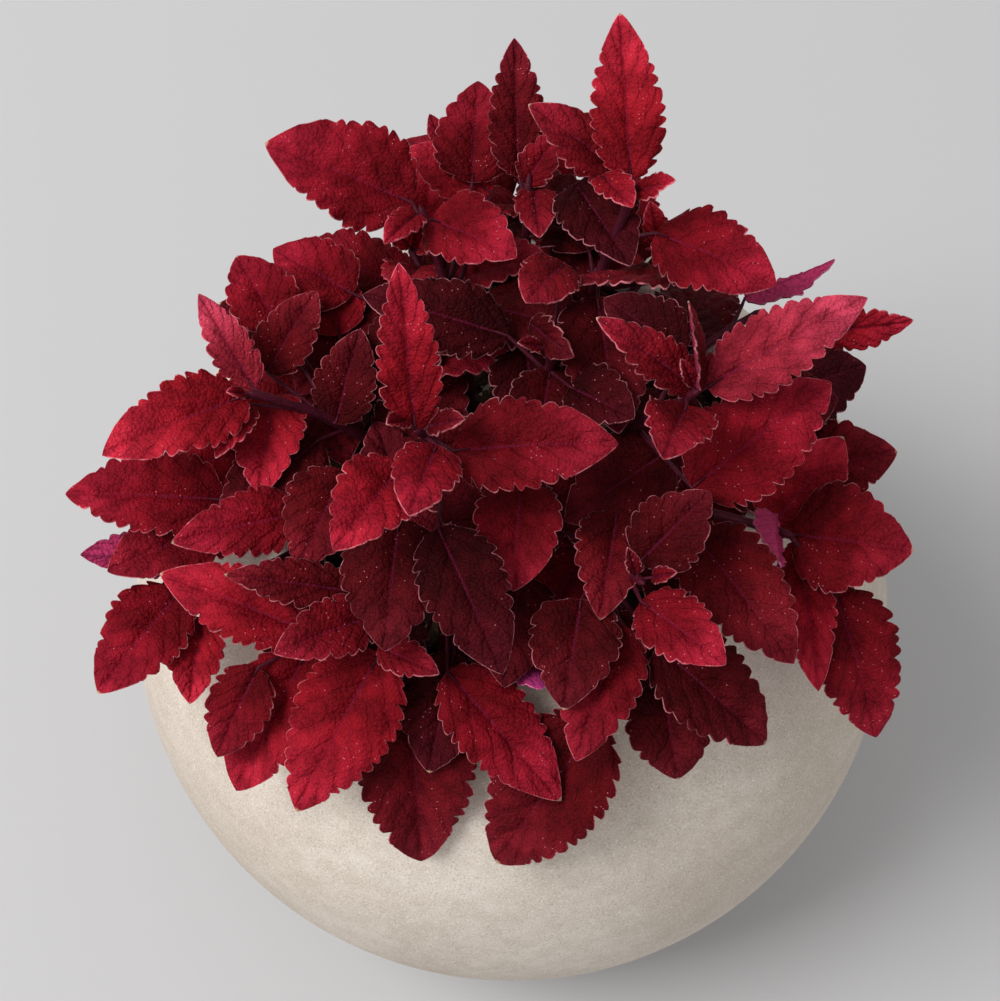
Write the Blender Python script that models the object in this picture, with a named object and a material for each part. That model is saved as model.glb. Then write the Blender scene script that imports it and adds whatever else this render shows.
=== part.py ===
"""A coleus with red, quilted, toothed leaves, grown full in a round pale pot.

The pot is a ball with a flat foot and an open top. Soil fills it to just under the
rim, with a plain hole for each stem. A leafy stem is one piece: a square stem whose
leaves stand on it in opposite pairs, each pair a quarter turn from the one above.

Leaves that show from the front are placed one by one, as seen by someone who looks
down at the pot from the front. The older leaves below them, and the stems at the
back, follow the plant's own rule. A leaf that would cross another stem's leaf is
bent clear of it.

Metres, +Z up. The origin is the middle of the flat foot, and the front is -Y.
"""

import math
import random

import bmesh
import bpy
from mathutils import Matrix, Vector
from mathutils.bvhtree import BVHTree

MM = 0.001

# Pot and soil
POT_RADIUS = 0.225
POT_CENTRE_HEIGHT = 0.190
POT_WALL = 0.015
POT_FLOOR = 0.018
RIM_HEIGHT = 0.370
SOIL_HEIGHT = 0.346
SOIL_MOUND = 0.004
SOIL_STEPS = 5
POT_SIDES = 36
DRAIN_HOLES = 3
DRAIN_RADIUS = 0.007
DRAIN_CIRCLE = 0.055
CLEARANCE = 0.0003

# Stems
STEM_BASE = 0.0042
STEM_TOP = 0.0020
STEM_STEPS = 5
HOLE_DEPTH = 0.018
HOLE_SIDES = 8
HOLE_CUT = 0.030
ROOT_SPREAD = 0.5
UPRIGHT_RISE = 0.008

# Leaves
BLADE_THICKNESS = 0.0009
STALK_WIDTH = 0.0024
TOOTH_SPACING = 0.022
MOST_TEETH = 4
HIDDEN_TEETH = 1
TOOTH_DEPTH = 0.13
TOOTH_PEAK = 0.62
WIDEST_AT = 0.36
BASE_FULLNESS = 0.46
TOOTHED_PART = 0.86
STALK_PART = 0.24
BEND_CLEAR = 0.0011
SEED = 7

# The front leaves are placed as seen from in front and above, at this angle down.
VIEW_DOWN = math.radians(61)
SEEN_RIGHT = Vector((1, 0, 0))
SEEN_UP = Vector((0, math.sin(VIEW_DOWN), math.cos(VIEW_DOWN)))
TO_VIEWER = Vector((0, -math.cos(VIEW_DOWN), math.sin(VIEW_DOWN)))

# Each stem's tip in millimetres, and its front leaves. A leaf's row gives where the
# blade starts from the tip, to the right and up as seen and below it in height, in
# millimetres; where it points, clockwise from straight up as seen, and how far it
# rises from level, in degrees; its length and width in millimetres; how far it rolls
# to its right, and how far it arches over from base to point, in degrees.
STEMS = {
    "centre_left": ((-43, -67, 500), (
        (-2, 3, 3, 355, 45, 76, 30, 0, 10),
        (8, -6, 3, 199, 15, 46, 32, 0, 30),
        (5, 3, 0, 84, 50, 30, 14, 0, 10),
        (-6, 5, 0, 253, 50, 22, 11, 0, 10),
        (-7, -14, 14, 217, 8, 58, 40, 0, 30),
        (15, -8, 12, 88, 8, 76, 46, 0, 30),
        (-10, -39, 38, 186, -25, 62, 50, 0, 35),
        (8, -46, 38, 156, -25, 74, 42, 0, 35),
        (46, -22, 40, 184, -20, 52, 42, 0, 30),
        (-40, -16, 80, 205, -5, 55, 44, 0, 30),
    )),
    "front_right": ((58, -118, 452), (
        (0, 9, 3, 45, 25, 46, 38, 0, 25),
        (0, -9, 6, 127, 10, 52, 34, 0, 30),
        (-2, 3, 0, 340, 50, 15, 8, 0, 10),
        (5, 2, 0, 75, 50, 17, 9, 0, 10),
        (-9, 33, 10, 191, 0, 58, 36, 0, 30),
        (-27, -9, 16, 190, -10, 54, 44, 0, 40),
        (-9, -20, 24, 198, -20, 68, 40, 0, 35),
        (27, 22, 24, 143, -12, 80, 48, 0, 35),
        (9, -31, 34, 132, -30, 74, 46, 0, 30),
        (12, -47, 46, 170, -40, 50, 44, 0, 30),
        (-23, 17, 46, 204, -15, 52, 40, 0, 30),
        (11, -31, 64, 165, -30, 60, 46, 0, 30),
    )),
    "centre_right": ((83, -40, 490), (
        (3, 3, 3, 304, 25, 60, 25, 0, 20),
        (6, 3, 3, 61, 20, 84, 38, 0, 25),
        (-4, -6, 2, 208, 20, 42, 34, 0, 25),
        (0, 3, 0, 330, 50, 16, 8, 0, 10),
        (3, -2, 6, 4, 35, 42, 22, 65, 20),
        (0, -45, 36, 53, 12, 84, 52, 0, 25),
        (-1, 22, 24, 305, 5, 48, 36, 0, 25),
        (22, -8, 26, 82, 0, 50, 44, 0, 30),
        (-8, -24, 46, 236, -10, 62, 46, 0, 30),
        (44, 2, 85, 72, 0, 60, 50, 0, 25),
    )),
    "left": ((-129, -5, 434), (
        (-5, -1, 3, 252, 10, 78, 42, 0, 25),
        (0, 3, 2, 330, 30, 54, 24, 0, 20),
        (-2, -2, 3, 211, 22, 38, 18, 0, 25),
        (10, 35, 12, 328, 10, 48, 38, 0, 25),
        (7, 2, 20, 184, -2, 58, 40, 0, 35),
        (4, 12, 14, 30, 15, 50, 32, 0, 25),
        (-4, 0, 0, 270, 50, 15, 8, 0, 10),
        (39, 33, 24, 346, 15, 40, 34, 0, 25),
        (39, -14, 26, 15, 30, 50, 34, 0, 25),
        (32, 4, 40, 165, -15, 42, 34, 0, 25),
        (-1, -27, 29, 262, 0, 50, 40, 0, 25),
        (19, 25, 26, 300, 10, 50, 38, 0, 25),
    )),
    "rear_left": ((-46, 80, 470), (
        (-5, 6, 6, 291, 15, 80, 58, 0, 25),
        (5, -3, 6, 118, 10, 54, 42, 0, 30),
        (-2, -1, 2, 218, 25, 38, 18, 0, 25),
        (35, 18, 24, 298, 10, 50, 34, 0, 25),
        (25, 20, 20, 3, 25, 54, 44, 0, 20),
        (15, 30, 26, 336, 20, 32, 16, 0, 20),
        (-28, -40, 56, 214, -5, 62, 46, 0, 25),
        (-37, -36, 45, 300, 5, 50, 40, 0, 25),
    )),
    "rear_middle": ((8, 104, 465), (
        (-5, 3, 6, 358, 35, 70, 31, 0, 15),
        (-2, -2, 3, 34, 35, 32, 22, 0, 20),
        (3, -3, 6, 176, 10, 38, 24, 0, 25),
    )),
    "rear_right": ((59, 78, 490), (
        (-1, 6, 3, 356, 32, 82, 38, 0, 20),
        (1, -1, 0, 85, 45, 28, 16, 0, 15),
        (-15, 8, 2, 146, 20, 34, 20, 0, 20),
        (-2, 8, 10, 306, 20, 62, 34, 0, 25),
        (12, -20, 18, 116, 0, 66, 46, 0, 30),
        (-27, 8, 24, 150, 0, 58, 42, 0, 25),
        (32, -41, 36, 272, 10, 66, 34, 50, 20),
        (-18, -2, 60, 200, -5, 45, 36, 0, 25),
    )),
    "middle": ((20, -1, 470), (
        (5, 44, 6, 220, 20, 42, 32, 0, 25),
        (-12, 14, 6, 139, 30, 42, 20, 50, 20),
        (-7, 0, 2, 275, 40, 16, 9, 0, 10),
        (-23, 7, 14, 285, 12, 74, 40, 0, 25),
        (7, -19, 14, 118, 10, 38, 34, 0, 25),
        (-2, -10, 20, 190, -5, 46, 36, 0, 25),
        (-14, 4, 28, 172, 0, 54, 42, 0, 25),
        (14, 2, 30, 148, 0, 50, 40, 0, 25),
        (-4, -68, 82, 176, -20, 66, 48, 0, 30),
        (-17, -110, 62, 188, -15, 56, 44, 0, 30),
        (4, 2, 45, 205, -5, 50, 40, 0, 25),
        (19, -51, 50, 192, -5, 50, 40, 0, 30),
    )),
    "front_left": ((-62, -128, 415), (
        (-5, 9, 4, 250, 15, 54, 32, 0, 25),
        (-2, -5, 4, 112, 15, 36, 20, 0, 25),
        (-16, 20, 8, 278, 12, 62, 26, 0, 20),
        (-34, 0, 14, 290, 0, 84, 40, 0, 25),
        (-2, -9, 16, 208, -35, 92, 54, 0, 35),
        (30, -20, 26, 127, -30, 84, 43, 0, 30),
        (11, -20, 32, 189, -42, 104, 60, 0, 35),
        (-62, -20, 34, 205, -35, 50, 34, 0, 30),
        (-38, -9, 30, 208, -40, 86, 46, 0, 35),
        (33, -11, 30, 192, -30, 60, 46, 0, 30),
        (6, 15, 20, 200, -20, 55, 44, 0, 30),
    )),
    "front_middle": ((26, -148, 393), (
        (15, -14, 14, 213, -45, 99, 60, 0, 35),
        (-30, 20, 8, 120, 10, 40, 26, 0, 25),
        (-38, 44, 30, 200, -15, 52, 40, 0, 30),
    )),
    "right": ((136, -67, 402), (
        (3, 0, 6, 98, 5, 60, 58, 0, 30),
        (5, -2, 6, 173, -20, 76, 30, 0, 30),
        (-7, 5, 6, 38, 20, 62, 44, 0, 25),
        (24, -27, 22, 162, -40, 84, 48, 0, 35),
        (-7, 10, -2, 186, 30, 46, 28, 130, 25),
        (-14, 16, 30, 280, 5, 46, 36, 0, 25),
        (7, 32, 18, 80, 5, 56, 46, 0, 25),
    )),
    "right_rear": ((126, 53, 420), (
        (-5, 8, 4, 66, 10, 52, 30, 130, 20),
        (30, -10, 10, 83, 10, 52, 26, 50, 20),
    )),
    "left_front": ((-108, -62, 412), (
        (-38, 8, 14, 272, 0, 80, 46, 0, 30),
        (7, 2, 6, 257, 8, 70, 36, 0, 25),
        (-34, -2, 26, 252, -8, 68, 42, 0, 30),
        (16, 10, 30, 262, 0, 52, 42, 0, 25),
        (-30, -38, 28, 268, -8, 60, 44, 0, 30),
    )),
    "left_low": ((-150, -92, 385), (
        (-16, 2, 6, 218, -15, 66, 44, 0, 35),
        (-6, -10, 10, 186, -20, 44, 30, 0, 30),
        (-18, 18, 6, 272, 5, 50, 28, 140, 20),
    )),
    "left_rear": ((-98, 46, 400), ()),
    "back_left": ((-54, 104, 405), ()),
    "back_middle": ((10, 146, 408), ()),
    "back_right": ((80, 104, 404), ()),
}

# Older pairs by rule: how far down the stem they stand and how long they are, in
# millimetres. A stem with no front leaves has a whole set, from its tip down. The
# crowded stems have no room for older pairs.
YOUNG_PAIRS = ((3, 26), (12, 52), (28, 70))
OLD_PAIRS = ((56, 78),)
CROWDED = ("middle", "centre_left", "centre_right")


def blade_width(along):
    """Half width of a leaf at a part of its length, as a part of the widest."""
    rise = BASE_FULLNESS
    fall = rise * (1 - WIDEST_AT) / WIDEST_AT
    peak = WIDEST_AT**rise * (1 - WIDEST_AT)**fall
    return max(along, 0)**rise * max(1 - along, 0)**fall / peak


def turned(vector, axis, degrees):
    """The vector turned about an axis."""
    return Matrix.Rotation(math.radians(degrees), 3, axis) @ vector


class Leaf:
    """A leaf: where its blade starts, which way it runs and faces, and its form."""

    def __init__(self, start, along, face, length, width, arch, seed):
        draw = random.Random(seed)
        self.start = start
        self.along = along.normalized()
        self.face = (face - self.along * face.dot(self.along)).normalized()
        self.length = length
        self.width = width
        self.arch = math.radians(max(arch, 2))
        self.gutter = math.radians(draw.uniform(4, 16))
        self.curl = draw.uniform(0.05, 0.25)
        self.wave = draw.uniform(0.02, 0.06)
        self.phase = draw.uniform(0, math.tau)
        self.twist = math.radians(draw.uniform(-12, 12))
        self.teeth = min(max(round(length / TOOTH_SPACING), 1), MOST_TEETH)

    def point(self, along, across, spread=1.0):
        """A point of the blade: along from 0 to 1, across from -1 to 1 at the edge."""
        lean = self.arch / 2 - self.arch * along
        forward = (math.sin(self.arch / 2) - math.sin(lean)) / self.arch
        upward = (math.cos(lean) - math.cos(self.arch / 2)) / self.arch
        middle = self.start + self.length * (self.along * forward + self.face * upward)
        normal = self.face * math.cos(lean) - self.along * math.sin(lean)
        tangent = self.along * math.cos(lean) + self.face * math.sin(lean)
        side = tangent.cross(normal)
        roll = self.twist * (along - 0.4)
        side, normal = (side * math.cos(roll) + normal * math.sin(roll),
                        normal * math.cos(roll) - side * math.sin(roll))
        half = self.width / 2 * blade_width(along) * spread
        reach = abs(across)
        lift = math.sin(self.gutter) * reach - self.curl * reach**2
        ripple = self.wave * self.width * reach**2 * blade_width(along)
        ripple *= math.sin(across * 2 + 11 * along + self.phase)
        place = middle + side * half * across + normal * (half * lift + ripple)
        return place, normal


def add_leaf(mesh, root, leaf, thickness, stalk=True):
    """Add one closed leaf to a bmesh: the blade with its teeth, and its stalk."""
    steps = [TOOTHED_PART * tooth / leaf.teeth for tooth in range(leaf.teeth + 1)]

    def pair(place, normal, half=thickness / 2):
        return mesh.verts.new(place + normal * half), mesh.verts.new(place - normal * half)

    def face_both(one, two, three):
        mesh.faces.new((one[0], two[0], three[0]))
        mesh.faces.new((one[1], three[1], two[1]))

    def rim(one, two):
        mesh.faces.new((one[0], one[1], two[1]))
        mesh.faces.new((one[0], two[1], two[0]))

    def edge_pair(along, across, spread):
        return pair(*leaf.point(along, across, spread))

    base, normal = leaf.point(0, 0)
    side = (leaf.point(0.02, 1)[0] - leaf.point(0.02, -1)[0]).normalized()
    half = STALK_WIDTH / 2
    left, middle, right = (pair(base + side * half * hand, normal, half) for hand in (-1, 0, 1))
    if stalk:
        bend = (leaf.point(0.1, 0)[0] - base).rotation_difference(base - root)
        near, far = (pair(root + bend @ side * half * hand, bend @ normal, half)
                     for hand in (-1, 1))
        face_both(near, far, middle)
        face_both(near, middle, left)
        face_both(far, right, middle)
        rim(near, left)
        rim(right, far)
        mesh.faces.new((near[0], near[1], far[1], far[0]))
    else:
        mesh.faces.new((left[0], middle[0], middle[1], left[1]))
        mesh.faces.new((middle[0], right[0], right[1], middle[1]))
    notch = 1 - TOOTH_DEPTH
    for near, far in zip(steps, steps[1:]):
        peak = near + (far - near) * TOOTH_PEAK
        next_middle = pair(*leaf.point(far, 0))
        tooth = {hand: edge_pair(peak, hand, 1) for hand in (-1, 1)}
        next_edge = {hand: edge_pair(far, hand, notch) for hand in (-1, 1)}
        face_both(left, middle, tooth[-1])
        face_both(tooth[-1], middle, next_middle)
        face_both(tooth[-1], next_middle, next_edge[-1])
        rim(left, tooth[-1])
        rim(tooth[-1], next_edge[-1])
        face_both(middle, right, tooth[1])
        face_both(middle, tooth[1], next_middle)
        face_both(next_middle, tooth[1], next_edge[1])
        rim(tooth[1], right)
        rim(next_edge[1], tooth[1])
        left, middle, right = next_edge[-1], next_middle, next_edge[1]
    tip = pair(*leaf.point(1, 0))
    face_both(left, middle, tip)
    face_both(middle, right, tip)
    rim(left, tip)
    rim(tip, right)


def leaf_tree(root, leaf, stalk):
    """A search tree of the leaf, grown a little, for finding what it would cross."""
    mesh = bmesh.new()
    add_leaf(mesh, root, leaf, BLADE_THICKNESS + 2 * BEND_CLEAR, stalk)
    tree = BVHTree.FromBMesh(mesh)
    mesh.free()
    return tree


def stem_path(tip):
    """The middle line of a stem, from the bottom of its hole to its tip."""
    root = Vector((tip.x * ROOT_SPREAD, tip.y * ROOT_SPREAD, SOIL_HEIGHT))
    upright = root + Vector((0, 0, UPRIGHT_RISE))
    outward = Vector((tip.x - root.x, tip.y - root.y, 0))
    climb = max(tip.z - upright.z, 0)
    first = upright + Vector((0, 0, max(0.45 * climb, 0.030)))
    second = tip - outward * 0.45 - Vector((0, 0, 0.35 * climb - 0.010))
    path = [root - Vector((0, 0, HOLE_DEPTH - CLEARANCE)), upright]
    for step in range(1, STEM_STEPS + 1):
        part = step / STEM_STEPS
        rest = 1 - part
        path.append(upright * rest**3 + first * (3 * part * rest**2)
                    + second * (3 * part**2 * rest) + tip * part**3)
    return path


def along_path(path, down):
    """The place on a stem a given length down from its tip."""
    for upper, lower in zip(path[::-1], path[-2::-1]):
        length = (upper - lower).length
        if down <= length:
            return upper.lerp(lower, down / length)
        down -= length
    return path[1].copy()


def stem_radius(height_left, full):
    """The stem thins from its base to its tip."""
    return STEM_TOP + (STEM_BASE - STEM_TOP) * min(height_left / full, 1)


def add_stem(mesh, path, grow=0.0):
    """Add a closed square stem with a pointed tip to a bmesh."""
    full = sum((b - a).length for a, b in zip(path[1:], path[2:]))
    left = full
    rings = []
    for index, place in enumerate(path):
        if index <= 1:
            tangent = Vector((0, 0, 1))
        else:
            ahead = path[min(index + 1, len(path) - 1)]
            tangent = (ahead - path[index - 1]).normalized()
            left -= (place - path[index - 1]).length
        side = Vector((0, 1, 0)).cross(tangent).normalized()
        other = tangent.cross(side)
        radius = stem_radius(left, full) + grow
        rings.append([mesh.verts.new(place + side * radius * math.cos(turn)
                                     + other * radius * math.sin(turn))
                      for turn in (math.pi / 4 + math.pi / 2 * corner for corner in range(4))])
    mesh.faces.new(rings[0][::-1])
    for lower, upper in zip(rings, rings[1:]):
        for corner in range(4):
            after = (corner + 1) % 4
            mesh.faces.new((lower[corner], lower[after], upper[after], upper[corner]))
    point = mesh.verts.new(path[-1] + (path[-1] - path[-2]).normalized() * 2 * STEM_TOP)
    for corner in range(4):
        mesh.faces.new((rings[-1][corner], rings[-1][(corner + 1) % 4], point))


def seen_direction(clock, rise):
    """The way that looks like a clock angle from the front and rises this much."""
    clock = math.radians(clock)
    flat = SEEN_RIGHT * math.sin(clock) + SEEN_UP * math.cos(clock)
    reach = math.hypot(flat.z, TO_VIEWER.z)
    toward = math.asin(math.sin(math.radians(rise)) / reach) - math.atan2(flat.z, TO_VIEWER.z)
    return flat * math.cos(toward) + TO_VIEWER * math.sin(toward)


def front_leaf(tip, row, seed):
    """A leaf that shows from the front, from its row of the table."""
    right, up, below, clock, rise, length, width, roll, arch = row
    toward = (-below - up * SEEN_UP.z) / TO_VIEWER.z
    start = tip + (SEEN_RIGHT * right + SEEN_UP * up + TO_VIEWER * toward) * MM
    along = seen_direction(clock, rise)
    face = turned(Vector((0, 0, 1)) + TO_VIEWER * 0.7, along, roll)
    return Leaf(start, along, face, length * MM, width * MM, arch, seed)


def ruled_leaf(path, down, heading, rise, length, seed):
    """A leaf that follows the plant's rule, by its way round the stem."""
    draw = random.Random(seed)
    heading = math.radians(heading + draw.uniform(-14, 14))
    rise = math.radians(rise + draw.uniform(-7, 7))
    length *= draw.uniform(0.9, 1.1) * MM
    flat = Vector((math.cos(heading), math.sin(heading), 0))
    stalk = flat * math.cos(rise + 0.4) + Vector((0, 0, math.sin(rise + 0.4)))
    start = along_path(path, down * MM) + stalk * length * STALK_PART
    along = flat * math.cos(rise) + Vector((0, 0, math.sin(rise)))
    face = Vector((0, 0, 1)) - flat * 0.2
    return Leaf(start, along, face, length, length * draw.uniform(0.56, 0.66),
                draw.uniform(20, 40), seed)


def stalk_root(path, leaf):
    """Where a leaf's stalk leaves the stem: the near place that lies a little lower."""
    def cost(place):
        gap = leaf.start - place
        level = math.hypot(gap.x, gap.y)
        return gap.length + 3 * max(0.3 * level - gap.z, 0)

    full = sum((b - a).length for a, b in zip(path[1:], path[2:]))
    places = [along_path(path, full * 0.9 * step / 40) for step in range(41)]
    return min(places, key=cost)


def bent_ways():
    """Ways to bend a leaf clear, the smallest first: lower it, lift its point, turn it."""
    ways = [(down, lift, turn) for down in (0, 3, 6, 10, 14, 18, -3, -6)
            for lift in (0, -7, 7, -14, 14, -22) for turn in (0, -8, 8, -16, 16, -26, 26)]
    return sorted(ways, key=lambda way: abs(way[0]) / 4 + abs(way[1]) / 8 + abs(way[2]) / 9)


def bent(leaf, down, lift, turn):
    """A copy of the leaf, lowered, with its point lifted and turned."""
    copy = Leaf.__new__(Leaf)
    copy.__dict__.update(leaf.__dict__)
    copy.start = leaf.start - Vector((0, 0, down * MM))
    side = leaf.along.cross(leaf.face)
    for name in ("along", "face"):
        vector = turned(getattr(leaf, name), side, lift)
        setattr(copy, name, turned(vector, Vector((0, 0, 1)), turn))
    return copy


def planned_leaves(paths):
    """Every leaf that the plant should have, with its stem: the front ones first."""
    front, ruled = [], []
    for stem, (tip, rows) in STEMS.items():
        tip = Vector(tip) * MM
        seed = SEED + 100 * list(STEMS).index(stem)
        for index, row in enumerate(rows):
            front.append((row[2], stem, front_leaf(tip, row, seed + index)))
        pairs = YOUNG_PAIRS + OLD_PAIRS
        if rows:
            pairs = () if stem in CROWDED else OLD_PAIRS
        outward = math.degrees(math.atan2(tip.y, tip.x))
        for index, (down, length) in enumerate(pairs):
            age = index if not rows else index + 3
            for half in (0, 180):
                turn = 45 + 90 * index + half
                heading = outward + turn
                rise = 48 - 18 * age - 8 * age * math.cos(math.radians(turn))
                leaf = ruled_leaf(paths[stem], down, heading, rise, length, seed + 50 + 2 * index
                                  + half // 180)
                if rows:
                    leaf.teeth = HIDDEN_TEETH
                ruled.append((down, stem, leaf))
    ordered = sorted(front, key=lambda item: item[0]) + sorted(ruled, key=lambda item: item[0])
    return [(stem, leaf) for _, stem, leaf in ordered]


def settle_leaves(paths, solids):
    """Bend every leaf clear of what it would cross, and leave out what finds no room."""
    placed = {stem: [] for stem in STEMS}
    trees = []
    for stem, path in paths.items():
        mesh = bmesh.new()
        add_stem(mesh, path, BEND_CLEAR)
        trees.append((stem, BVHTree.FromBMesh(mesh), None))
        mesh.free()
    trees += [(None, tree, tree) for tree in solids]
    ways = bent_ways()
    for stem, leaf in planned_leaves(paths):
        for way in ways:
            trial = bent(leaf, *way)
            root = stalk_root(paths[stem], trial)
            blade = leaf_tree(root, trial, False)
            whole = leaf_tree(root, trial, True)
            if all(not (blade.overlap(other_blade) if owner == stem and other_blade else
                        owner != stem and whole.overlap(other_whole))
                   for owner, other_whole, other_blade in trees):
                placed[stem].append((root, trial))
                trees.append((stem, whole, blade))
                break
    return placed


def new_object(name, mesh):
    """An object from a bmesh, in the scene."""
    bmesh.ops.recalc_face_normals(mesh, faces=mesh.faces)
    data = bpy.data.meshes.new(name)
    mesh.to_mesh(data)
    mesh.free()
    thing = bpy.data.objects.new(name, data)
    bpy.context.collection.objects.link(thing)
    return thing


def combine(target, others, operation, solver="EXACT"):
    """Join other objects to the target or cut them from it, and remove them."""
    group = bpy.data.collections.new("joined")
    bpy.context.scene.collection.children.link(group)
    for other in others:
        for collection in list(other.users_collection):
            collection.objects.unlink(other)
        group.objects.link(other)
    change = target.modifiers.new("Combine", "BOOLEAN")
    change.operation = operation
    change.solver = solver
    change.operand_type = "COLLECTION"
    change.collection = group
    graph = bpy.context.evaluated_depsgraph_get()
    result = bpy.data.meshes.new_from_object(target.evaluated_get(graph))
    target.modifiers.remove(change)
    old = target.data
    target.data = result
    bpy.data.meshes.remove(old)
    for other in list(group.objects):
        bpy.data.objects.remove(other, do_unlink=True)
    bpy.data.collections.remove(group)
    result.name = target.name


def keep_largest_body(thing):
    """Drop the loose scraps and sealed hollows that joining leaves can leave behind."""
    mesh = bmesh.new()
    mesh.from_mesh(thing.data)
    unseen = set(mesh.verts)
    bodies = []
    while unseen:
        body = set()
        edge = [next(vert for vert in mesh.verts if vert in unseen)]
        while edge:
            vert = edge.pop()
            if vert not in body:
                body.add(vert)
                edge += [link.other_vert(vert) for link in vert.link_edges]
        unseen -= body
        bodies.append(body)
    largest = max(bodies, key=len)
    bmesh.ops.delete(mesh, geom=[vert for vert in mesh.verts if vert not in largest])
    mesh.to_mesh(thing.data)
    mesh.free()


def lathe(name, profile):
    """A closed round solid from its half profile, which starts and ends on the axis."""
    mesh = bmesh.new()
    points = [mesh.verts.new((radius, 0, height)) for radius, height in profile]
    edges = [mesh.edges.new(pair) for pair in zip(points, points[1:])]
    bmesh.ops.spin(mesh, geom=points + edges, cent=(0, 0, 0), axis=(0, 0, 1), angle=math.tau,
                   steps=POT_SIDES, use_merge=True, use_duplicate=False)
    bmesh.ops.remove_doubles(mesh, verts=mesh.verts, dist=0.00001)
    return new_object(name, mesh)


def ball_arc(radius, low, high, steps, inset=0.0):
    """Points of a ball's half profile between two heights, from the low one up.

    An inset draws the same points on a smaller ball, whose facets lie along these."""
    low, high = (math.asin((height - POT_CENTRE_HEIGHT) / radius) for height in (low, high))
    angles = [low + (high - low) * step / steps for step in range(steps + 1)]
    radius -= inset
    return [(radius * math.cos(a), POT_CENTRE_HEIGHT + radius * math.sin(a)) for a in angles]


def make_pot():
    """The pot: a ball with a flat foot, an even wall and a rounded rim."""
    inner = POT_RADIUS - POT_WALL
    outside = ball_arc(POT_RADIUS, 0, RIM_HEIGHT, 9)
    rim_angle = math.asin((RIM_HEIGHT - POT_CENTRE_HEIGHT) / POT_RADIUS)
    inner_rim = POT_CENTRE_HEIGHT + inner * math.sin(rim_angle)
    inside = ball_arc(inner, POT_FLOOR, SOIL_HEIGHT, SOIL_STEPS)
    inside += ball_arc(inner, SOIL_HEIGHT, inner_rim, 1)[1:]
    middle = POT_RADIUS - POT_WALL / 2
    lip = []
    for step in range(1, 3):
        turn = math.pi * step / 3
        reach = middle + POT_WALL / 2 * math.cos(turn)
        rise = POT_WALL / 2 * math.sin(turn)
        lip.append((reach * math.cos(rim_angle) - rise * math.sin(rim_angle),
                    POT_CENTRE_HEIGHT + reach * math.sin(rim_angle) + rise * math.cos(rim_angle)))
    profile = [(0, 0)] + outside + lip + inside[::-1] + [(0, POT_FLOOR)]
    pot = lathe("pot", profile)
    drains = []
    for index in range(DRAIN_HOLES):
        turn = math.tau * (index + 0.5) / DRAIN_HOLES
        mesh = bmesh.new()
        place = Matrix.Translation((DRAIN_CIRCLE * math.cos(turn), DRAIN_CIRCLE * math.sin(turn),
                                    POT_FLOOR / 2))
        bmesh.ops.create_cone(mesh, cap_ends=True, segments=12, radius1=DRAIN_RADIUS,
                              radius2=DRAIN_RADIUS, depth=2 * POT_FLOOR, matrix=place)
        drains.append(new_object("drain", mesh))
    combine(pot, drains, "DIFFERENCE")
    return pot


def make_soil(paths):
    """The soil: it fills the pot to under the rim, with a plain hole for each stem."""
    side = ball_arc(POT_RADIUS - POT_WALL, POT_FLOOR, SOIL_HEIGHT, SOIL_STEPS, CLEARANCE)
    edge = side[-1][0]
    profile = [(0, side[0][1])] + side
    profile += [(edge * 0.6, SOIL_HEIGHT + SOIL_MOUND * 0.6), (0, SOIL_HEIGHT + SOIL_MOUND)]
    soil = lathe("soil", profile)
    holes = []
    radius = (STEM_BASE + CLEARANCE) / math.cos(math.pi / HOLE_SIDES)
    for path in paths.values():
        mesh = bmesh.new()
        middle = SOIL_HEIGHT - HOLE_DEPTH + HOLE_CUT / 2
        place = Matrix.Translation((path[0].x, path[0].y, middle))
        bmesh.ops.create_cone(mesh, cap_ends=True, segments=HOLE_SIDES, radius1=radius,
                              radius2=radius, depth=HOLE_CUT, matrix=place)
        holes.append(new_object("hole", mesh))
    combine(soil, holes, "DIFFERENCE")
    return soil


def make_stem(name, path, leaves):
    """A leafy stem: the square stem and its leaves, joined into one solid."""
    mesh = bmesh.new()
    add_stem(mesh, path)
    stem = new_object(name, mesh)
    pieces = []
    for root, leaf in leaves:
        mesh = bmesh.new()
        add_leaf(mesh, root, leaf, BLADE_THICKNESS)
        pieces.append(new_object("leaf", mesh))
    combine(stem, pieces, "UNION", "MANIFOLD")
    keep_largest_body(stem)
    return stem


def give_finish(thing, name, colour, roughness):
    """One Principled material of a plain colour."""
    finish = bpy.data.materials.new(name)
    finish.use_nodes = True
    shader = finish.node_tree.nodes["Principled BSDF"]
    shader.inputs["Base Color"].default_value = (*colour, 1)
    shader.inputs["Roughness"].default_value = roughness
    thing.data.materials.clear()
    thing.data.materials.append(finish)


def tree_of(thing):
    """A search tree of a finished object."""
    mesh = bmesh.new()
    mesh.from_mesh(thing.data)
    tree = BVHTree.FromBMesh(mesh)
    mesh.free()
    return tree


def main():
    """Model the plant in its pot."""
    for thing in list(bpy.data.objects):
        bpy.data.objects.remove(thing, do_unlink=True)
    paths = {stem: stem_path(Vector(tip) * MM) for stem, (tip, _) in STEMS.items()}
    pot = make_pot()
    give_finish(pot, "pot stone", (0.48, 0.45, 0.37), 0.75)
    pot.data.shade_smooth()
    pot.data.set_sharp_from_angle(angle=math.radians(40))
    soil = make_soil(paths)
    give_finish(soil, "soil", (0.035, 0.022, 0.014), 0.95)
    placed = settle_leaves(paths, [tree_of(pot), tree_of(soil)])
    for index, (stem, path) in enumerate(paths.items()):
        thing = make_stem("leafy_stem_" + stem, path, placed[stem])
        shade = 0.30 + 0.10 * (index % 3)
        give_finish(thing, "leaf red " + stem, (shade, 0.010, 0.022), 0.6)


main()
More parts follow.
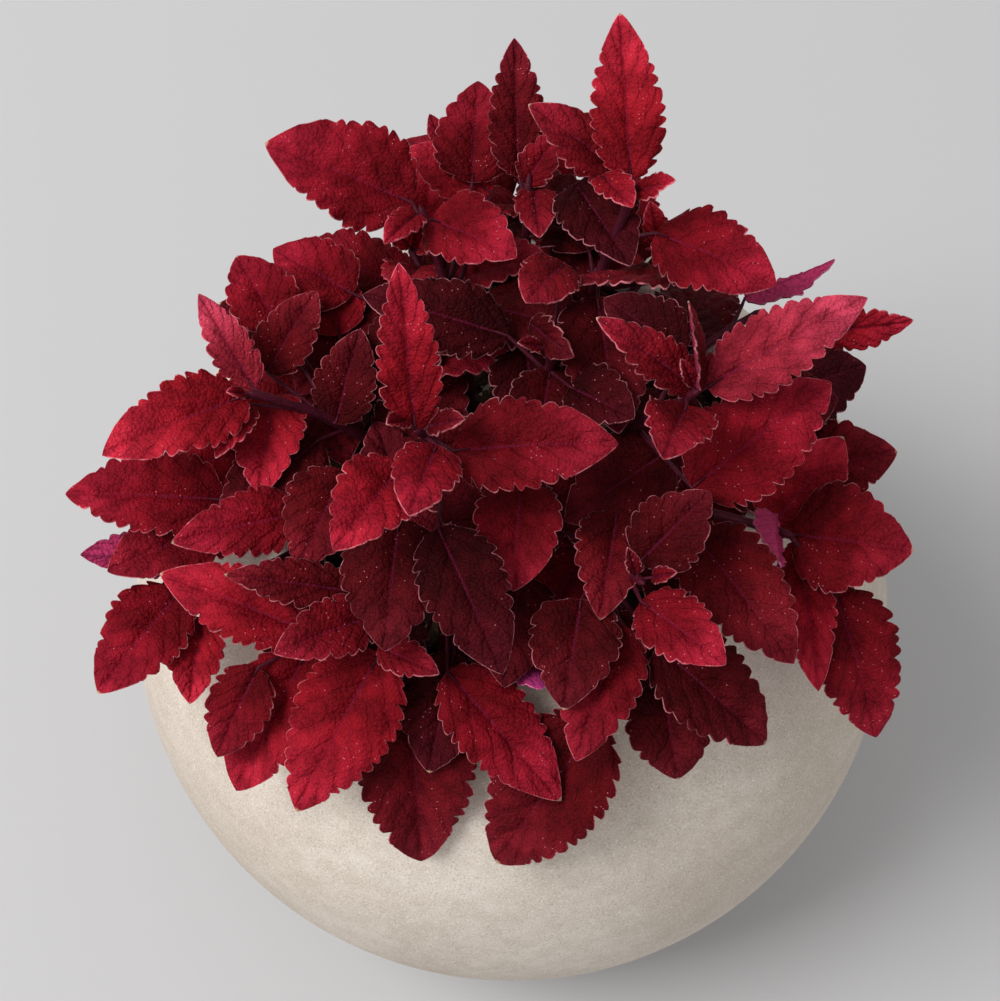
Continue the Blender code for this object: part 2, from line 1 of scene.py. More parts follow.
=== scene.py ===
# %% [markdown]
# A coleus in a round pot, dressed for the camera
#
# The plant is a crown of soft red leaves over a pale, sandy ball of a pot. The solid
# model already says where every stem and leaf stands. This lesson swaps its plain
# pieces for finer ones on the same places: leaves with round teeth, veins and a
# quilted skin, square stems, a smooth cast pot and crumbly soil.
#
# The first cell loads the solid model as a fixed frame.

import bisect
import math
import random

import bmesh
import bpy
from mathutils import Matrix, Vector, noise
from mathutils.kdtree import KDTree


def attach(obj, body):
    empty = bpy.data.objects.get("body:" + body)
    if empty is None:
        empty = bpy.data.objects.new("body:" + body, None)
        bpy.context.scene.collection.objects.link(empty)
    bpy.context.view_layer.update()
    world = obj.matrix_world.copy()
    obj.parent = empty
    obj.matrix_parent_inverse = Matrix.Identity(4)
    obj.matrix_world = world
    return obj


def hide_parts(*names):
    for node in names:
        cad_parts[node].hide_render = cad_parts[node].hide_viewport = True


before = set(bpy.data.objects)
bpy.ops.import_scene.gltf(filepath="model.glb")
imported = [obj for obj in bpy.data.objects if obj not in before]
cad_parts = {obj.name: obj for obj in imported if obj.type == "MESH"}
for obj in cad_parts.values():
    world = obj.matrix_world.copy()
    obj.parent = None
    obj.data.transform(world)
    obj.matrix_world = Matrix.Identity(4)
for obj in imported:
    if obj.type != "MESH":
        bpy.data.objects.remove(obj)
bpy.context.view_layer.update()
MM = 0.001

# %% [markdown]
# Where the leaves stand
#
# Coleus leaves grow in opposite pairs, and each pair is a quarter turn from the one
# above. The leaves that show from the front are placed one by one, as seen by
# someone who looks down at the pot. A row of the table gives a leaf's place from its
# stem's tip, its direction, its size, and its tone. The older leaves and the stems at
# the back follow the rule of pairs.
#
# The table and the rule are those of the solid model, so each fine leaf can be set
# exactly over its plain one.

# %% The table of stems and leaves
SOIL_HEIGHT = 0.346
HOLE_DEPTH = 0.018
CLEARANCE = 0.0003
STEM_BASE = 0.0042
STEM_TOP = 0.0020
STEM_STEPS = 5
ROOT_SPREAD = 0.5
UPRIGHT_RISE = 0.008
WIDEST_AT = 0.36
BASE_FULLNESS = 0.46
STALK_PART = 0.24
SEED = 7

VIEW_DOWN = math.radians(61)
UP = Vector((0, 0, 1))
SEEN_RIGHT = Vector((1, 0, 0))
SEEN_UP = Vector((0, math.sin(VIEW_DOWN), math.cos(VIEW_DOWN)))
TO_VIEWER = Vector((0, -math.cos(VIEW_DOWN), math.sin(VIEW_DOWN)))

# Tip in millimetres, then rows of (right, up, below, clock, rise, length, width,
# roll, arch, tone): millimetres for the place and size, degrees for the angles.
STEMS = {
    "centre_left": ((-43, -67, 500), (
        (-2, 3, 3, 355, 45, 76, 30, 0, 10, "crimson"),
        (8, -6, 3, 199, 15, 46, 32, 0, 30, "carmine"),
        (5, 3, 0, 84, 50, 30, 14, 0, 10, "wine"),
        (-6, 5, 0, 253, 50, 22, 11, 0, 10, "ruby"),
        (-7, -14, 14, 217, 8, 58, 40, 0, 30, "crimson"),
        (15, -8, 12, 88, 8, 76, 46, 0, 30, "ruby"),
        (-10, -39, 38, 186, -25, 62, 50, 0, 35, "burgundy"),
        (8, -46, 38, 156, -25, 74, 42, 0, 35, "plum"),
        (46, -22, 40, 184, -20, 52, 42, 0, 30, "ruby"),
        (-40, -16, 80, 205, -5, 55, 44, 0, 30, "wine"),
    )),
    "front_right": ((58, -118, 452), (
        (0, 9, 3, 45, 25, 46, 38, 0, 25, "burgundy"),
        (0, -9, 6, 127, 10, 52, 34, 0, 30, "carmine"),
        (-2, 3, 0, 340, 50, 15, 8, 0, 10, "wine"),
        (5, 2, 0, 75, 50, 17, 9, 0, 10, "ruby"),
        (-9, 33, 10, 191, 0, 58, 36, 0, 30, "wine"),
        (-27, -9, 16, 190, -10, 54, 44, 0, 40, "burgundy"),
        (-9, -20, 24, 198, -20, 68, 40, 0, 35, "ruby"),
        (27, 22, 24, 143, -12, 80, 48, 0, 35, "wine"),
        (9, -31, 34, 132, -30, 74, 46, 0, 30, "burgundy"),
        (12, -47, 46, 170, -40, 50, 44, 0, 30, "burgundy"),
        (-23, 17, 46, 204, -15, 52, 40, 0, 30, "ruby"),
        (11, -31, 64, 165, -30, 60, 46, 0, 30, "burgundy"),
    )),
    "centre_right": ((83, -40, 490), (
        (3, 3, 3, 304, 25, 60, 25, 0, 20, "ruby"),
        (6, 3, 3, 61, 20, 84, 38, 0, 25, "frosted"),
        (-4, -6, 2, 208, 20, 42, 34, 0, 25, "ruby"),
        (0, 3, 0, 330, 50, 16, 8, 0, 10, "ruby"),
        (3, -2, 6, 4, 35, 42, 22, 65, 20, "wine"),
        (0, -45, 36, 53, 12, 84, 52, 0, 25, "carmine"),
        (-1, 22, 24, 305, 5, 48, 36, 0, 25, "plum"),
        (22, -8, 26, 82, 0, 50, 44, 0, 30, "burgundy"),
        (-8, -24, 46, 236, -10, 62, 46, 0, 30, "burgundy"),
        (44, 2, 85, 72, 0, 60, 50, 0, 25, "shade"),
    )),
    "left": ((-129, -5, 434), (
        (-5, -1, 3, 252, 10, 78, 42, 0, 25, "cherry"),
        (0, 3, 2, 330, 30, 54, 24, 0, 20, "frosted"),
        (-2, -2, 3, 211, 22, 38, 18, 0, 25, "cherry"),
        (10, 35, 12, 328, 10, 48, 38, 0, 25, "carmine"),
        (7, 2, 20, 184, -2, 58, 40, 0, 35, "crimson"),
        (4, 12, 14, 30, 15, 50, 32, 0, 25, "wine"),
        (-4, 0, 0, 270, 50, 15, 8, 0, 10, "crimson"),
        (39, 33, 24, 346, 15, 40, 34, 0, 25, "crimson"),
        (39, -14, 26, 15, 30, 50, 34, 0, 25, "burgundy"),
        (32, 4, 40, 165, -15, 42, 34, 0, 25, "wine"),
        (-1, -27, 29, 262, 0, 50, 40, 0, 25, "crimson"),
        (19, 25, 26, 300, 10, 50, 38, 0, 25, "burgundy"),
    )),
    "rear_left": ((-46, 80, 470), (
        (-5, 6, 6, 291, 15, 80, 58, 0, 25, "carmine"),
        (5, -3, 6, 118, 10, 54, 42, 0, 30, "carmine"),
        (-2, -1, 2, 218, 25, 38, 18, 0, 25, "crimson"),
        (35, 18, 24, 298, 10, 50, 34, 0, 25, "cherry"),
        (25, 20, 20, 3, 25, 54, 44, 0, 20, "ruby"),
        (15, 30, 26, 336, 20, 32, 16, 0, 20, "ruby"),
        (-28, -40, 56, 214, -5, 62, 46, 0, 25, "wine"),
        (-37, -36, 45, 300, 5, 50, 40, 0, 25, "carmine"),
    )),
    "rear_middle": ((8, 104, 465), (
        (-5, 3, 6, 358, 35, 70, 31, 0, 15, "wine"),
        (-2, -2, 3, 34, 35, 32, 22, 0, 20, "ruby"),
        (3, -3, 6, 176, 10, 38, 24, 0, 25, "ruby"),
    )),
    "rear_right": ((59, 78, 490), (
        (-1, 6, 3, 356, 32, 82, 38, 0, 20, "cherry"),
        (1, -1, 0, 85, 45, 28, 16, 0, 15, "crimson"),
        (-15, 8, 2, 146, 20, 34, 20, 0, 20, "crimson"),
        (-2, 8, 10, 306, 20, 62, 34, 0, 25, "ruby"),
        (12, -20, 18, 116, 0, 66, 46, 0, 30, "carmine"),
        (-27, 8, 24, 150, 0, 58, 42, 0, 25, "plum"),
        (32, -41, 36, 272, 10, 66, 34, 50, 20, "wine"),
        (-18, -2, 60, 200, -5, 45, 36, 0, 25, "burgundy"),
    )),
    "middle": ((20, -1, 470), (
        (5, 44, 6, 220, 20, 42, 32, 0, 25, "ruby"),
        (-12, 14, 6, 139, 30, 42, 20, 50, 20, "burgundy"),
        (-7, 0, 2, 275, 40, 16, 9, 0, 10, "ruby"),
        (-23, 7, 14, 285, 12, 74, 40, 0, 25, "plum"),
        (7, -19, 14, 118, 10, 38, 34, 0, 25, "plum"),
        (-2, -10, 20, 190, -5, 46, 36, 0, 25, "burgundy"),
        (-14, 4, 28, 172, 0, 54, 42, 0, 25, "plum"),
        (14, 2, 30, 148, 0, 50, 40, 0, 25, "burgundy"),
        (-4, -68, 82, 176, -20, 66, 48, 0, 30, "shade"),
        (-17, -110, 62, 188, -15, 56, 44, 0, 30, "burgundy"),
        (4, 2, 45, 205, -5, 50, 40, 0, 25, "burgundy"),
        (19, -51, 50, 192, -5, 50, 40, 0, 30, "wine"),
    )),
    "front_left": ((-62, -128, 415), (
        (-5, 9, 4, 250, 15, 54, 32, 0, 25, "ruby"),
        (-2, -5, 4, 112, 15, 36, 20, 0, 25, "ruby"),
        (-16, 20, 8, 278, 12, 62, 26, 0, 20, "wine"),
        (-34, 0, 14, 290, 0, 84, 40, 0, 25, "crimson"),
        (-2, -9, 16, 208, -35, 92, 54, 0, 35, "crimson"),
        (30, -20, 26, 127, -30, 84, 43, 0, 30, "carmine"),
        (11, -20, 32, 189, -42, 104, 60, 0, 35, "wine"),
        (-62, -20, 34, 205, -35, 50, 34, 0, 30, "ruby"),
        (-38, -9, 30, 208, -40, 86, 46, 0, 35, "crimson"),
        (33, -11, 30, 192, -30, 60, 46, 0, 30, "plum"),
        (6, 15, 20, 200, -20, 55, 44, 0, 30, "shade"),
    )),
    "front_middle": ((26, -148, 393), (
        (15, -14, 14, 213, -45, 99, 60, 0, 35, "wine"),
        (-30, 20, 8, 120, 10, 40, 26, 0, 25, "magenta"),
        (-38, 44, 30, 200, -15, 52, 40, 0, 30, "wine"),
    )),
    "right": ((136, -67, 402), (
        (3, 0, 6, 98, 5, 60, 58, 0, 30, "ruby"),
        (5, -2, 6, 173, -20, 76, 30, 0, 30, "crimson"),
        (-7, 5, 6, 38, 20, 62, 44, 0, 25, "crimson"),
        (24, -27, 22, 162, -40, 84, 48, 0, 35, "ruby"),
        (-7, 10, -2, 186, 30, 46, 28, 130, 25, "magenta"),
        (-14, 16, 30, 280, 5, 46, 36, 0, 25, "ruby"),
        (7, 32, 18, 80, 5, 56, 46, 0, 25, "wine"),
    )),
    "right_rear": ((126, 53, 420), (
        (-5, 8, 4, 66, 10, 52, 30, 130, 20, "magenta"),
        (30, -10, 10, 83, 10, 52, 26, 50, 20, "crimson"),
    )),
    "left_front": ((-108, -62, 412), (
        (-38, 8, 14, 272, 0, 80, 46, 0, 30, "carmine"),
        (7, 2, 6, 257, 8, 70, 36, 0, 25, "carmine"),
        (-34, -2, 26, 252, -8, 68, 42, 0, 30, "ruby"),
        (16, 10, 30, 262, 0, 52, 42, 0, 25, "burgundy"),
        (-30, -38, 28, 268, -8, 60, 44, 0, 30, "burgundy"),
    )),
    "left_low": ((-150, -92, 385), (
        (-16, 2, 6, 218, -15, 66, 44, 0, 35, "carmine"),
        (-6, -10, 10, 186, -20, 44, 30, 0, 30, "cherry"),
        (-18, 18, 6, 272, 5, 50, 28, 140, 20, "magenta"),
    )),
    "left_rear": ((-98, 46, 400), ()),
    "back_left": ((-54, 104, 405), ()),
    "back_middle": ((10, 146, 408), ()),
    "back_right": ((80, 104, 404), ()),
}
YOUNG_PAIRS = ((3, 26, "scarlet"), (12, 52, "crimson"), (28, 70, "ruby"))
OLD_PAIRS = ((56, 78, "burgundy"),)
CROWDED = ("middle", "centre_left", "centre_right")
print("stems:", len(STEMS), "front leaves:", sum(len(rows) for _, rows in STEMS.values()))

# %% [markdown]
# The form of a leaf
#
# A leaf is a surface that is known by two numbers: how far along it a point lies,
# from the stalk to the tip, and how far across, from the midrib to either edge. The
# formula bends it over its length, folds it a little at the midrib, curls its edges
# down and waves them. A seed gives each leaf its own curl and wave.

# %% Leaf formula
def blade_width(along):
    """Half width of a leaf at a part of its length, as a part of the widest."""
    rise = BASE_FULLNESS
    fall = rise * (1 - WIDEST_AT) / WIDEST_AT
    peak = WIDEST_AT**rise * (1 - WIDEST_AT)**fall
    return max(along, 0)**rise * max(1 - along, 0)**fall / peak


def turned(vector, axis, degrees):
    """The vector turned about an axis."""
    return Matrix.Rotation(math.radians(degrees), 3, axis) @ vector


class Leaf:
    """A leaf: where its blade starts, which way it runs and faces, and its form."""

    def __init__(self, start, along, face, length, width, arch, seed, tone):
        draw = random.Random(seed)
        self.tone = tone
        self.start = start
        self.along = along.normalized()
        self.face = (face - self.along * face.dot(self.along)).normalized()
        self.length = length
        self.width = width
        self.arch = math.radians(max(arch, 2))
        self.gutter = math.radians(draw.uniform(4, 16))
        self.curl = draw.uniform(0.05, 0.25)
        self.wave = draw.uniform(0.02, 0.06)
        self.phase = draw.uniform(0, math.tau)
        self.twist = math.radians(draw.uniform(-12, 12))
        self.chance = draw.random()
        self.quilting = 0.7 + 0.6 * self.chance

    def point(self, along, across):
        """A point of the blade and the way it faces there."""
        lean = self.arch / 2 - self.arch * along
        forward = (math.sin(self.arch / 2) - math.sin(lean)) / self.arch
        upward = (math.cos(lean) - math.cos(self.arch / 2)) / self.arch
        middle = self.start + self.length * (self.along * forward + self.face * upward)
        normal = self.face * math.cos(lean) - self.along * math.sin(lean)
        tangent = self.along * math.cos(lean) + self.face * math.sin(lean)
        side = tangent.cross(normal)
        roll = self.twist * (along - 0.4)
        side, normal = (side * math.cos(roll) + normal * math.sin(roll),
                        normal * math.cos(roll) - side * math.sin(roll))
        half = self.width / 2 * blade_width(along)
        reach = abs(across)
        lift = math.sin(self.gutter) * reach - self.curl * reach**2
        ripple = self.wave * self.width * reach**2 * blade_width(along)
        ripple *= math.sin(across * 2 + 11 * along + self.phase)
        place = middle + side * half * across + normal * (half * lift + ripple)
        return place, normal


# %% [markdown]
# Stems and the leaves on them
#
# A stem climbs out of its hole in the soil and leans outward to its tip. The front
# leaves come from their rows in the table, and the others from the rule of pairs.

# %% Stem paths and planned leaves
def stem_path(tip):
    """The middle line of a stem, from the bottom of its hole to its tip."""
    root = Vector((tip.x * ROOT_SPREAD, tip.y * ROOT_SPREAD, SOIL_HEIGHT))
    upright = root + UP * UPRIGHT_RISE
    outward = Vector((tip.x - root.x, tip.y - root.y, 0))
    climb = max(tip.z - upright.z, 0)
    first = upright + UP * max(0.45 * climb, 0.030)
    second = tip - outward * 0.45 - UP * (0.35 * climb - 0.010)
    path = [root - UP * (HOLE_DEPTH - CLEARANCE), upright]
    for step in range(1, STEM_STEPS + 1):
        part = step / STEM_STEPS
        rest = 1 - part
        path.append(upright * rest**3 + first * (3 * part * rest**2)
                    + second * (3 * part**2 * rest) + tip * part**3)
    return path


def along_path(path, down):
    """The place on a stem a given length down from its tip."""
    for upper, lower in zip(path[::-1], path[-2::-1]):
        length = (upper - lower).length
        if down <= length:
            return upper.lerp(lower, down / length)
        down -= length
    return path[1].copy()


def seen_direction(clock, rise):
    """The way that looks like a clock angle from the front and rises this much."""
    clock = math.radians(clock)
    flat = SEEN_RIGHT * math.sin(clock) + SEEN_UP * math.cos(clock)
    reach = math.hypot(flat.z, TO_VIEWER.z)
    toward = math.asin(math.sin(math.radians(rise)) / reach) - math.atan2(flat.z, TO_VIEWER.z)
    return flat * math.cos(toward) + TO_VIEWER * math.sin(toward)


def front_leaf(tip, row, seed):
    """A leaf that shows from the front, from its row of the table."""
    right, up, below, clock, rise, length, width, roll, arch, tone = row
    toward = (-below - up * SEEN_UP.z) / TO_VIEWER.z
    start = tip + (SEEN_RIGHT * right + SEEN_UP * up + TO_VIEWER * toward) * MM
    along = seen_direction(clock, rise)
    face = turned(UP + TO_VIEWER * 0.7, along, roll)
    return Leaf(start, along, face, length * MM, width * MM, arch, seed, tone)


def ruled_leaf(path, down, heading, rise, length, seed, tone):
    """A leaf that follows the plant's rule, by its way round the stem."""
    draw = random.Random(seed)
    heading = math.radians(heading + draw.uniform(-14, 14))
    rise = math.radians(rise + draw.uniform(-7, 7))
    length *= draw.uniform(0.9, 1.1) * MM
    flat = Vector((math.cos(heading), math.sin(heading), 0))
    stalk = flat * math.cos(rise + 0.4) + UP * math.sin(rise + 0.4)
    start = along_path(path, down * MM) + stalk * length * STALK_PART
    along = flat * math.cos(rise) + UP * math.sin(rise)
    face = UP - flat * 0.2
    return Leaf(start, along, face, length, length * draw.uniform(0.56, 0.66),
                draw.uniform(20, 40), seed, tone)


def planned_leaves(stem, path):
    """The leaves that a stem should have, before any is bent clear of another."""
    tip, rows = TIPS[stem], STEMS[stem][1]
    seed = SEED + 100 * list(STEMS).index(stem)
    leaves = [front_leaf(tip, row, seed + index) for index, row in enumerate(rows)]
    pairs = YOUNG_PAIRS + OLD_PAIRS
    if rows:
        pairs = () if stem in CROWDED else OLD_PAIRS
    outward = math.degrees(math.atan2(tip.y, tip.x))
    for index, (down, length, tone) in enumerate(pairs):
        age = index if not rows else index + 3
        for half in (0, 180):
            turn = 45 + 90 * index + half
            rise = 48 - 18 * age - 8 * age * math.cos(math.radians(turn))
            leaves.append(ruled_leaf(path, down, outward + turn, rise, length,
                                     seed + 50 + 2 * index + half // 180, tone))
    return leaves


TIPS = {stem: Vector(tip) * MM for stem, (tip, _) in STEMS.items()}
PATHS = {stem: stem_path(tip) for stem, tip in TIPS.items()}
PLANNED = {stem: planned_leaves(stem, path) for stem, path in PATHS.items()}
print("planned leaves:", sum(len(leaves) for leaves in PLANNED.values()))

# %% [markdown]
# Set each leaf over its solid one
#
# In the solid model a leaf that would cross another stem was lowered, lifted or turned
# a little, and a few that found no room were left out. Instead of working that out
# again, each leaf tries the same small bends and keeps the one whose tip and teeth
# lie on corners of the solid model. A search tree of those corners makes this quick.

# %% Match the leaves to the frame
BLADE_THICKNESS = 0.0009
TOOTH_SPACING = 0.022
MOST_TEETH = 4
HIDDEN_TEETH = 1
TOOTH_PEAK = 0.62
TOOTHED_PART = 0.86
MATCH = 0.00003
CORNERS_NEEDED = 2


def bent_ways():
    """Small bends, the smallest first: lower the leaf, lift its point, turn it."""
    ways = [(down, lift, turn) for down in (0, 3, 6, 10, 14, 18, -3, -6)
            for lift in (0, -7, 7, -14, 14, -22) for turn in (0, -8, 8, -16, 16, -26, 26)]
    return sorted(ways, key=lambda way: abs(way[0]) / 4 + abs(way[1]) / 8 + abs(way[2]) / 9)


def bent(leaf, down, lift, turn):
    """A copy of the leaf, lowered, with its point lifted and turned."""
    copy = Leaf.__new__(Leaf)
    copy.__dict__.update(leaf.__dict__)
    copy.start = leaf.start - UP * (down * MM)
    side = leaf.along.cross(leaf.face)
    for name in ("along", "face"):
        vector = turned(getattr(leaf, name), side, lift)
        setattr(copy, name, turned(vector, UP, turn))
    return copy


def corners(leaf):
    """Corners of the plain leaf: its tip, and a tooth or two of each edge."""
    places = [leaf.point(1, 0)]
    for teeth in {min(max(round(leaf.length / TOOTH_SPACING), 1), MOST_TEETH), HIDDEN_TEETH}:
        peak = TOOTHED_PART / teeth * TOOTH_PEAK
        places += [leaf.point(peak, -1), leaf.point(peak, 1)]
    return [place + normal * BLADE_THICKNESS / 2 for place, normal in places]


def corner_tree(node):
    """A search tree of the corners of a solid."""
    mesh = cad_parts[node].data
    tree = KDTree(len(mesh.vertices))
    for vert in mesh.vertices:
        tree.insert(vert.co, vert.index)
    tree.balance()
    return tree


def settled_leaves(stem):
    """The stem's leaves as they lie in the solid model."""
    tree = corner_tree("leafy_stem_" + stem)
    kept = []
    for leaf in PLANNED[stem]:
        trials = [bent(leaf, *way) for way in bent_ways()]
        found = [sum(tree.find(place)[2] < MATCH for place in corners(trial)) for trial in trials]
        if max(found) >= CORNERS_NEEDED:
            kept.append(trials[found.index(max(found))])
    return kept


LEAVES = {stem: settled_leaves(stem) for stem in STEMS}
print("leaves found in the frame:", sum(len(leaves) for leaves in LEAVES.values()))
for stem, leaves in LEAVES.items():
    print(" ", stem, len(leaves), "of", len(PLANNED[stem]))

# %% [markdown]
# Round teeth, veins and a quilted skin
#
# A coleus leaf is broad near its base and runs out to a long smooth point. Between
# them its edge is cut into round teeth. Side veins leave the midrib in pairs and
# sweep forward. They lie in grooves on top, so the skin swells into pillows between
# them. All of it follows the two numbers of the leaf's formula: the teeth pull the
# edge in, and the pillows lift the surface. The blade also folds a little more at its
# midrib and waves at its edge, and some leaves have a narrower point than others.

# %% Edge and relief of a fine leaf
TEETH_SPACING = 0.0066
TEETH_START = 0.04
TEETH_END = (0.72, 0.90)
TEETH_CUT = 0.0028
TEETH_JITTER = 0.16
TEETH_RANGE = (4, 12)
TOOTH_CREST = 0.7
DEEPEST_CUT = 0.2
USUAL_LENGTH = 0.07
EDGE_BAND = 0.55
TIP_NARROWING = 0.14
NARROW_FROM = (0.60, 0.92)
SIDE_VEINS = 5.5
VEIN_SWEEP = 0.40
VEIN_WOBBLE = 0.012
SWELL = 0.021
VEIN_GROOVE = 0.30
MIDRIB_GROOVE = 0.0014
MIDRIB_REACH = 0.16
FOLD = 0.10
RUFFLE = 0.048


def smooth(low, high, value):
    """Zero below the low value, one above the high one, and a soft rise between."""
    part = min(max((value - low) / (high - low), 0), 1)
    return part * part * (3 - 2 * part)


def tooth_places(leaf):
    """Where the notches between the teeth lie along the leaf."""
    low, high = TEETH_END
    reach = low + (high - low) * (0.5 + 0.5 * math.sin(5 * leaf.phase)) - TEETH_START
    fewest, most = TEETH_RANGE
    count = min(max(round(reach * leaf.length / TEETH_SPACING), fewest), most)
    step = reach / count
    return [TEETH_START + step * (index + TEETH_JITTER * math.sin(1.9 * index + leaf.phase))
            for index in range(count + 1)]


def edge_cut(leaf, notches, along, hand):
    """How far the edge is pulled in, as a part of the half width: most at a notch."""
    narrowing = TIP_NARROWING * leaf.chance * smooth(*NARROW_FROM, along)
    index = bisect.bisect_right(notches, along)
    if not 0 < index < len(notches):
        return narrowing
    inside = (along - notches[index - 1]) / (notches[index] - notches[index - 1])
    if inside < TOOTH_CREST:
        lobe = math.sin(math.pi / 2 * inside / TOOTH_CREST)
    else:
        lobe = math.sqrt(max(1 - ((inside - TOOTH_CREST) / (1 - TOOTH_CREST)) ** 2, 0))
    uneven = 1 + 0.4 * math.sin(2.3 * index + leaf.phase + 2 * hand)
    half = max(leaf.width / 2 * blade_width(along), 0.001)
    deepest = min(TEETH_CUT * math.sqrt(leaf.length / USUAL_LENGTH), DEEPEST_CUT * half) * uneven
    return narrowing + deepest / half * (1 - lobe)


def vein_count(along, across):
    """A number that grows by one from each side vein to the next."""
    reach = abs(across)
    sweep = VEIN_SWEEP * reach ** 1.15 * (0.35 + 0.65 * blade_width(along))
    wobble = VEIN_WOBBLE * math.sin(9 * reach + 14 * along + 2 * across)
    return (along - sweep + wobble) * SIDE_VEINS


def relief(leaf, along, across):
    """How far the skin swells at a point, between its veins."""
    reach = abs(across)
    number = vein_count(along, across)
    gap = 1 - 2 * abs(number - math.floor(number) - 0.5)
    pillow = smooth(0, VEIN_GROOVE, gap / 2) * smooth(0, 0.12, reach)
    lumps = 0.8 + 0.2 * math.sin(10 * reach + 2.1 * math.floor(number) + leaf.phase)
    fade = (1 - reach**5) * smooth(0, 0.08, along) * smooth(1, 0.85, along)
    waves = math.sin(17 * along + 3 * across + 2 * leaf.phase) * math.sin(31 * along + leaf.phase)
    ruffle = RUFFLE * leaf.width * reach ** 3 * blade_width(along) * waves
    groove = MIDRIB_GROOVE * math.exp(-(reach / MIDRIB_REACH) ** 2) * smooth(1, 0.7, along)
    fold = FOLD * leaf.width / 2 * blade_width(along) * (reach - 0.5)
    return leaf.length * SWELL * leaf.quilting * pillow * lumps * fade + ruffle - groove + fold

# %% [markdown]
# Build a blade from a grid
#
# A flat grid has a row for each step along the leaf and a column for each step
# across. The rows stand closer at the teeth, so that every notch is sharp. The grid
# is extruded once, which gives the blade a top, an underside and a rim, and then
# every point moves to where the formula says. The points also carry what the
# materials need: how far along the leaf they lie, how far from the edge, which vein
# is nearest, and the leaf's tone.

# %% Blade builder
FINE_THICKNESS = 0.0007
MIDRIB_DEPTH = 0.0009
COLUMNS = (0, 0.07, 0.20, 0.34, 0.48, 0.61, 0.73, 0.83, 0.91, 0.965, 1)
BASE_ROWS = (0, 0.3, 0.6)
TOOTH_ROWS = (0, 0.2, 0.45, 0.7, 0.9)
TIP_ROWS = (0, 0.2, 0.4, 0.6, 0.78, 0.92, 1)
TOUCHING = 0.00002


def row_places(notches):
    """Where the rows of the grid lie along the leaf."""
    rows = [notches[0] * part for part in BASE_ROWS]
    for near, far in zip(notches, notches[1:]):
        rows += [near + (far - near) * part for part in TOOTH_ROWS]
    return rows + [notches[-1] + (1 - notches[-1]) * part for part in TIP_ROWS]


def add_blade(mesh, leaf):
    """Add one fine leaf blade to a bmesh, with its material attributes."""
    skin = mesh.verts.layers.float_vector["skin"]
    form = mesh.verts.layers.float_vector["form"]
    tone = mesh.verts.layers.float_color["tone"]
    notches = tooth_places(leaf)
    rows = row_places(notches)
    columns = [-place for place in COLUMNS[:0:-1]] + list(COLUMNS)
    colour = screen_colour(*TONES[leaf.tone])
    before = set(mesh.faces)
    lower = bmesh.ops.create_grid(mesh, x_segments=len(rows) - 1, y_segments=len(columns) - 1,
                                  size=1)["verts"]
    faces = [face for face in mesh.faces if face not in before]
    raised = bmesh.ops.extrude_face_region(mesh, geom=faces, use_keep_orig=True)["geom"]
    upper = {part for part in raised if isinstance(part, bmesh.types.BMVert)}
    for face in faces:
        face.material_index = 1
    bmesh.ops.reverse_faces(mesh, faces=faces)
    for vert in list(lower) + list(upper):
        row = rows[round((vert.co.x + 1) / 2 * (len(rows) - 1))]
        column = columns[round((1 - vert.co.y) / 2 * (len(columns) - 1))]
        hand = math.copysign(1, column)
        cut = edge_cut(leaf, notches, row, hand)
        reach = abs(column) - cut * smooth(EDGE_BAND, 1, abs(column))
        place, normal = leaf.point(row, hand * reach)
        height = relief(leaf, row, hand * reach)
        rib = MIDRIB_DEPTH * (1 - row) * (column == 0)
        height += FINE_THICKNESS / 2 if vert in upper else -FINE_THICKNESS / 2 - rib
        half = leaf.width / 2 * blade_width(row)
        vert.co = place + normal * height
        vert[skin] = (leaf.chance + row * leaf.length, hand * reach * half, leaf.chance)
        vert[form] = (row, (1 - cut - reach) * half / MM, vein_count(row, reach))
        vert[tone] = (*colour, 1)
    bmesh.ops.remove_doubles(mesh, verts=list(lower), dist=TOUCHING)
    bmesh.ops.remove_doubles(mesh, verts=[vert for vert in upper if vert.is_valid], dist=TOUCHING)


# %% [markdown]
# Stems and stalks
#
# Coleus belongs to the mint family, whose stems are square. A tube starts as a
# circle, which is extruded from place to place along its path. Pulling in the
# points between the corners makes it square, and each pair of stalks gets a small
# swelling where it leaves the stem.

# %% Tubes for stems and stalks
STEM_FINE_STEPS = 18
STEM_SIDES = 12
STALK_SIDES = 8
STALK_STEPS = 5
STALK_RADIUS = 0.0012
LONG_STALK_LEAF = 0.06
SQUARENESS = 0.22
NODE_SWELLING = 0.0006
NODE_REACH = 0.003
ROOT_TRIALS = 40
LOWEST_ROOT = 0.9
LEAST_CLIMB = 0.3
STEM_END = (1.6, 0.3)
STALK_END = 0.10
STALK_SINK = 0.0004
STALK_THICK = 1.15
STALK_TAPER = 0.35
STALK_TIP = (0.75, 0.35)


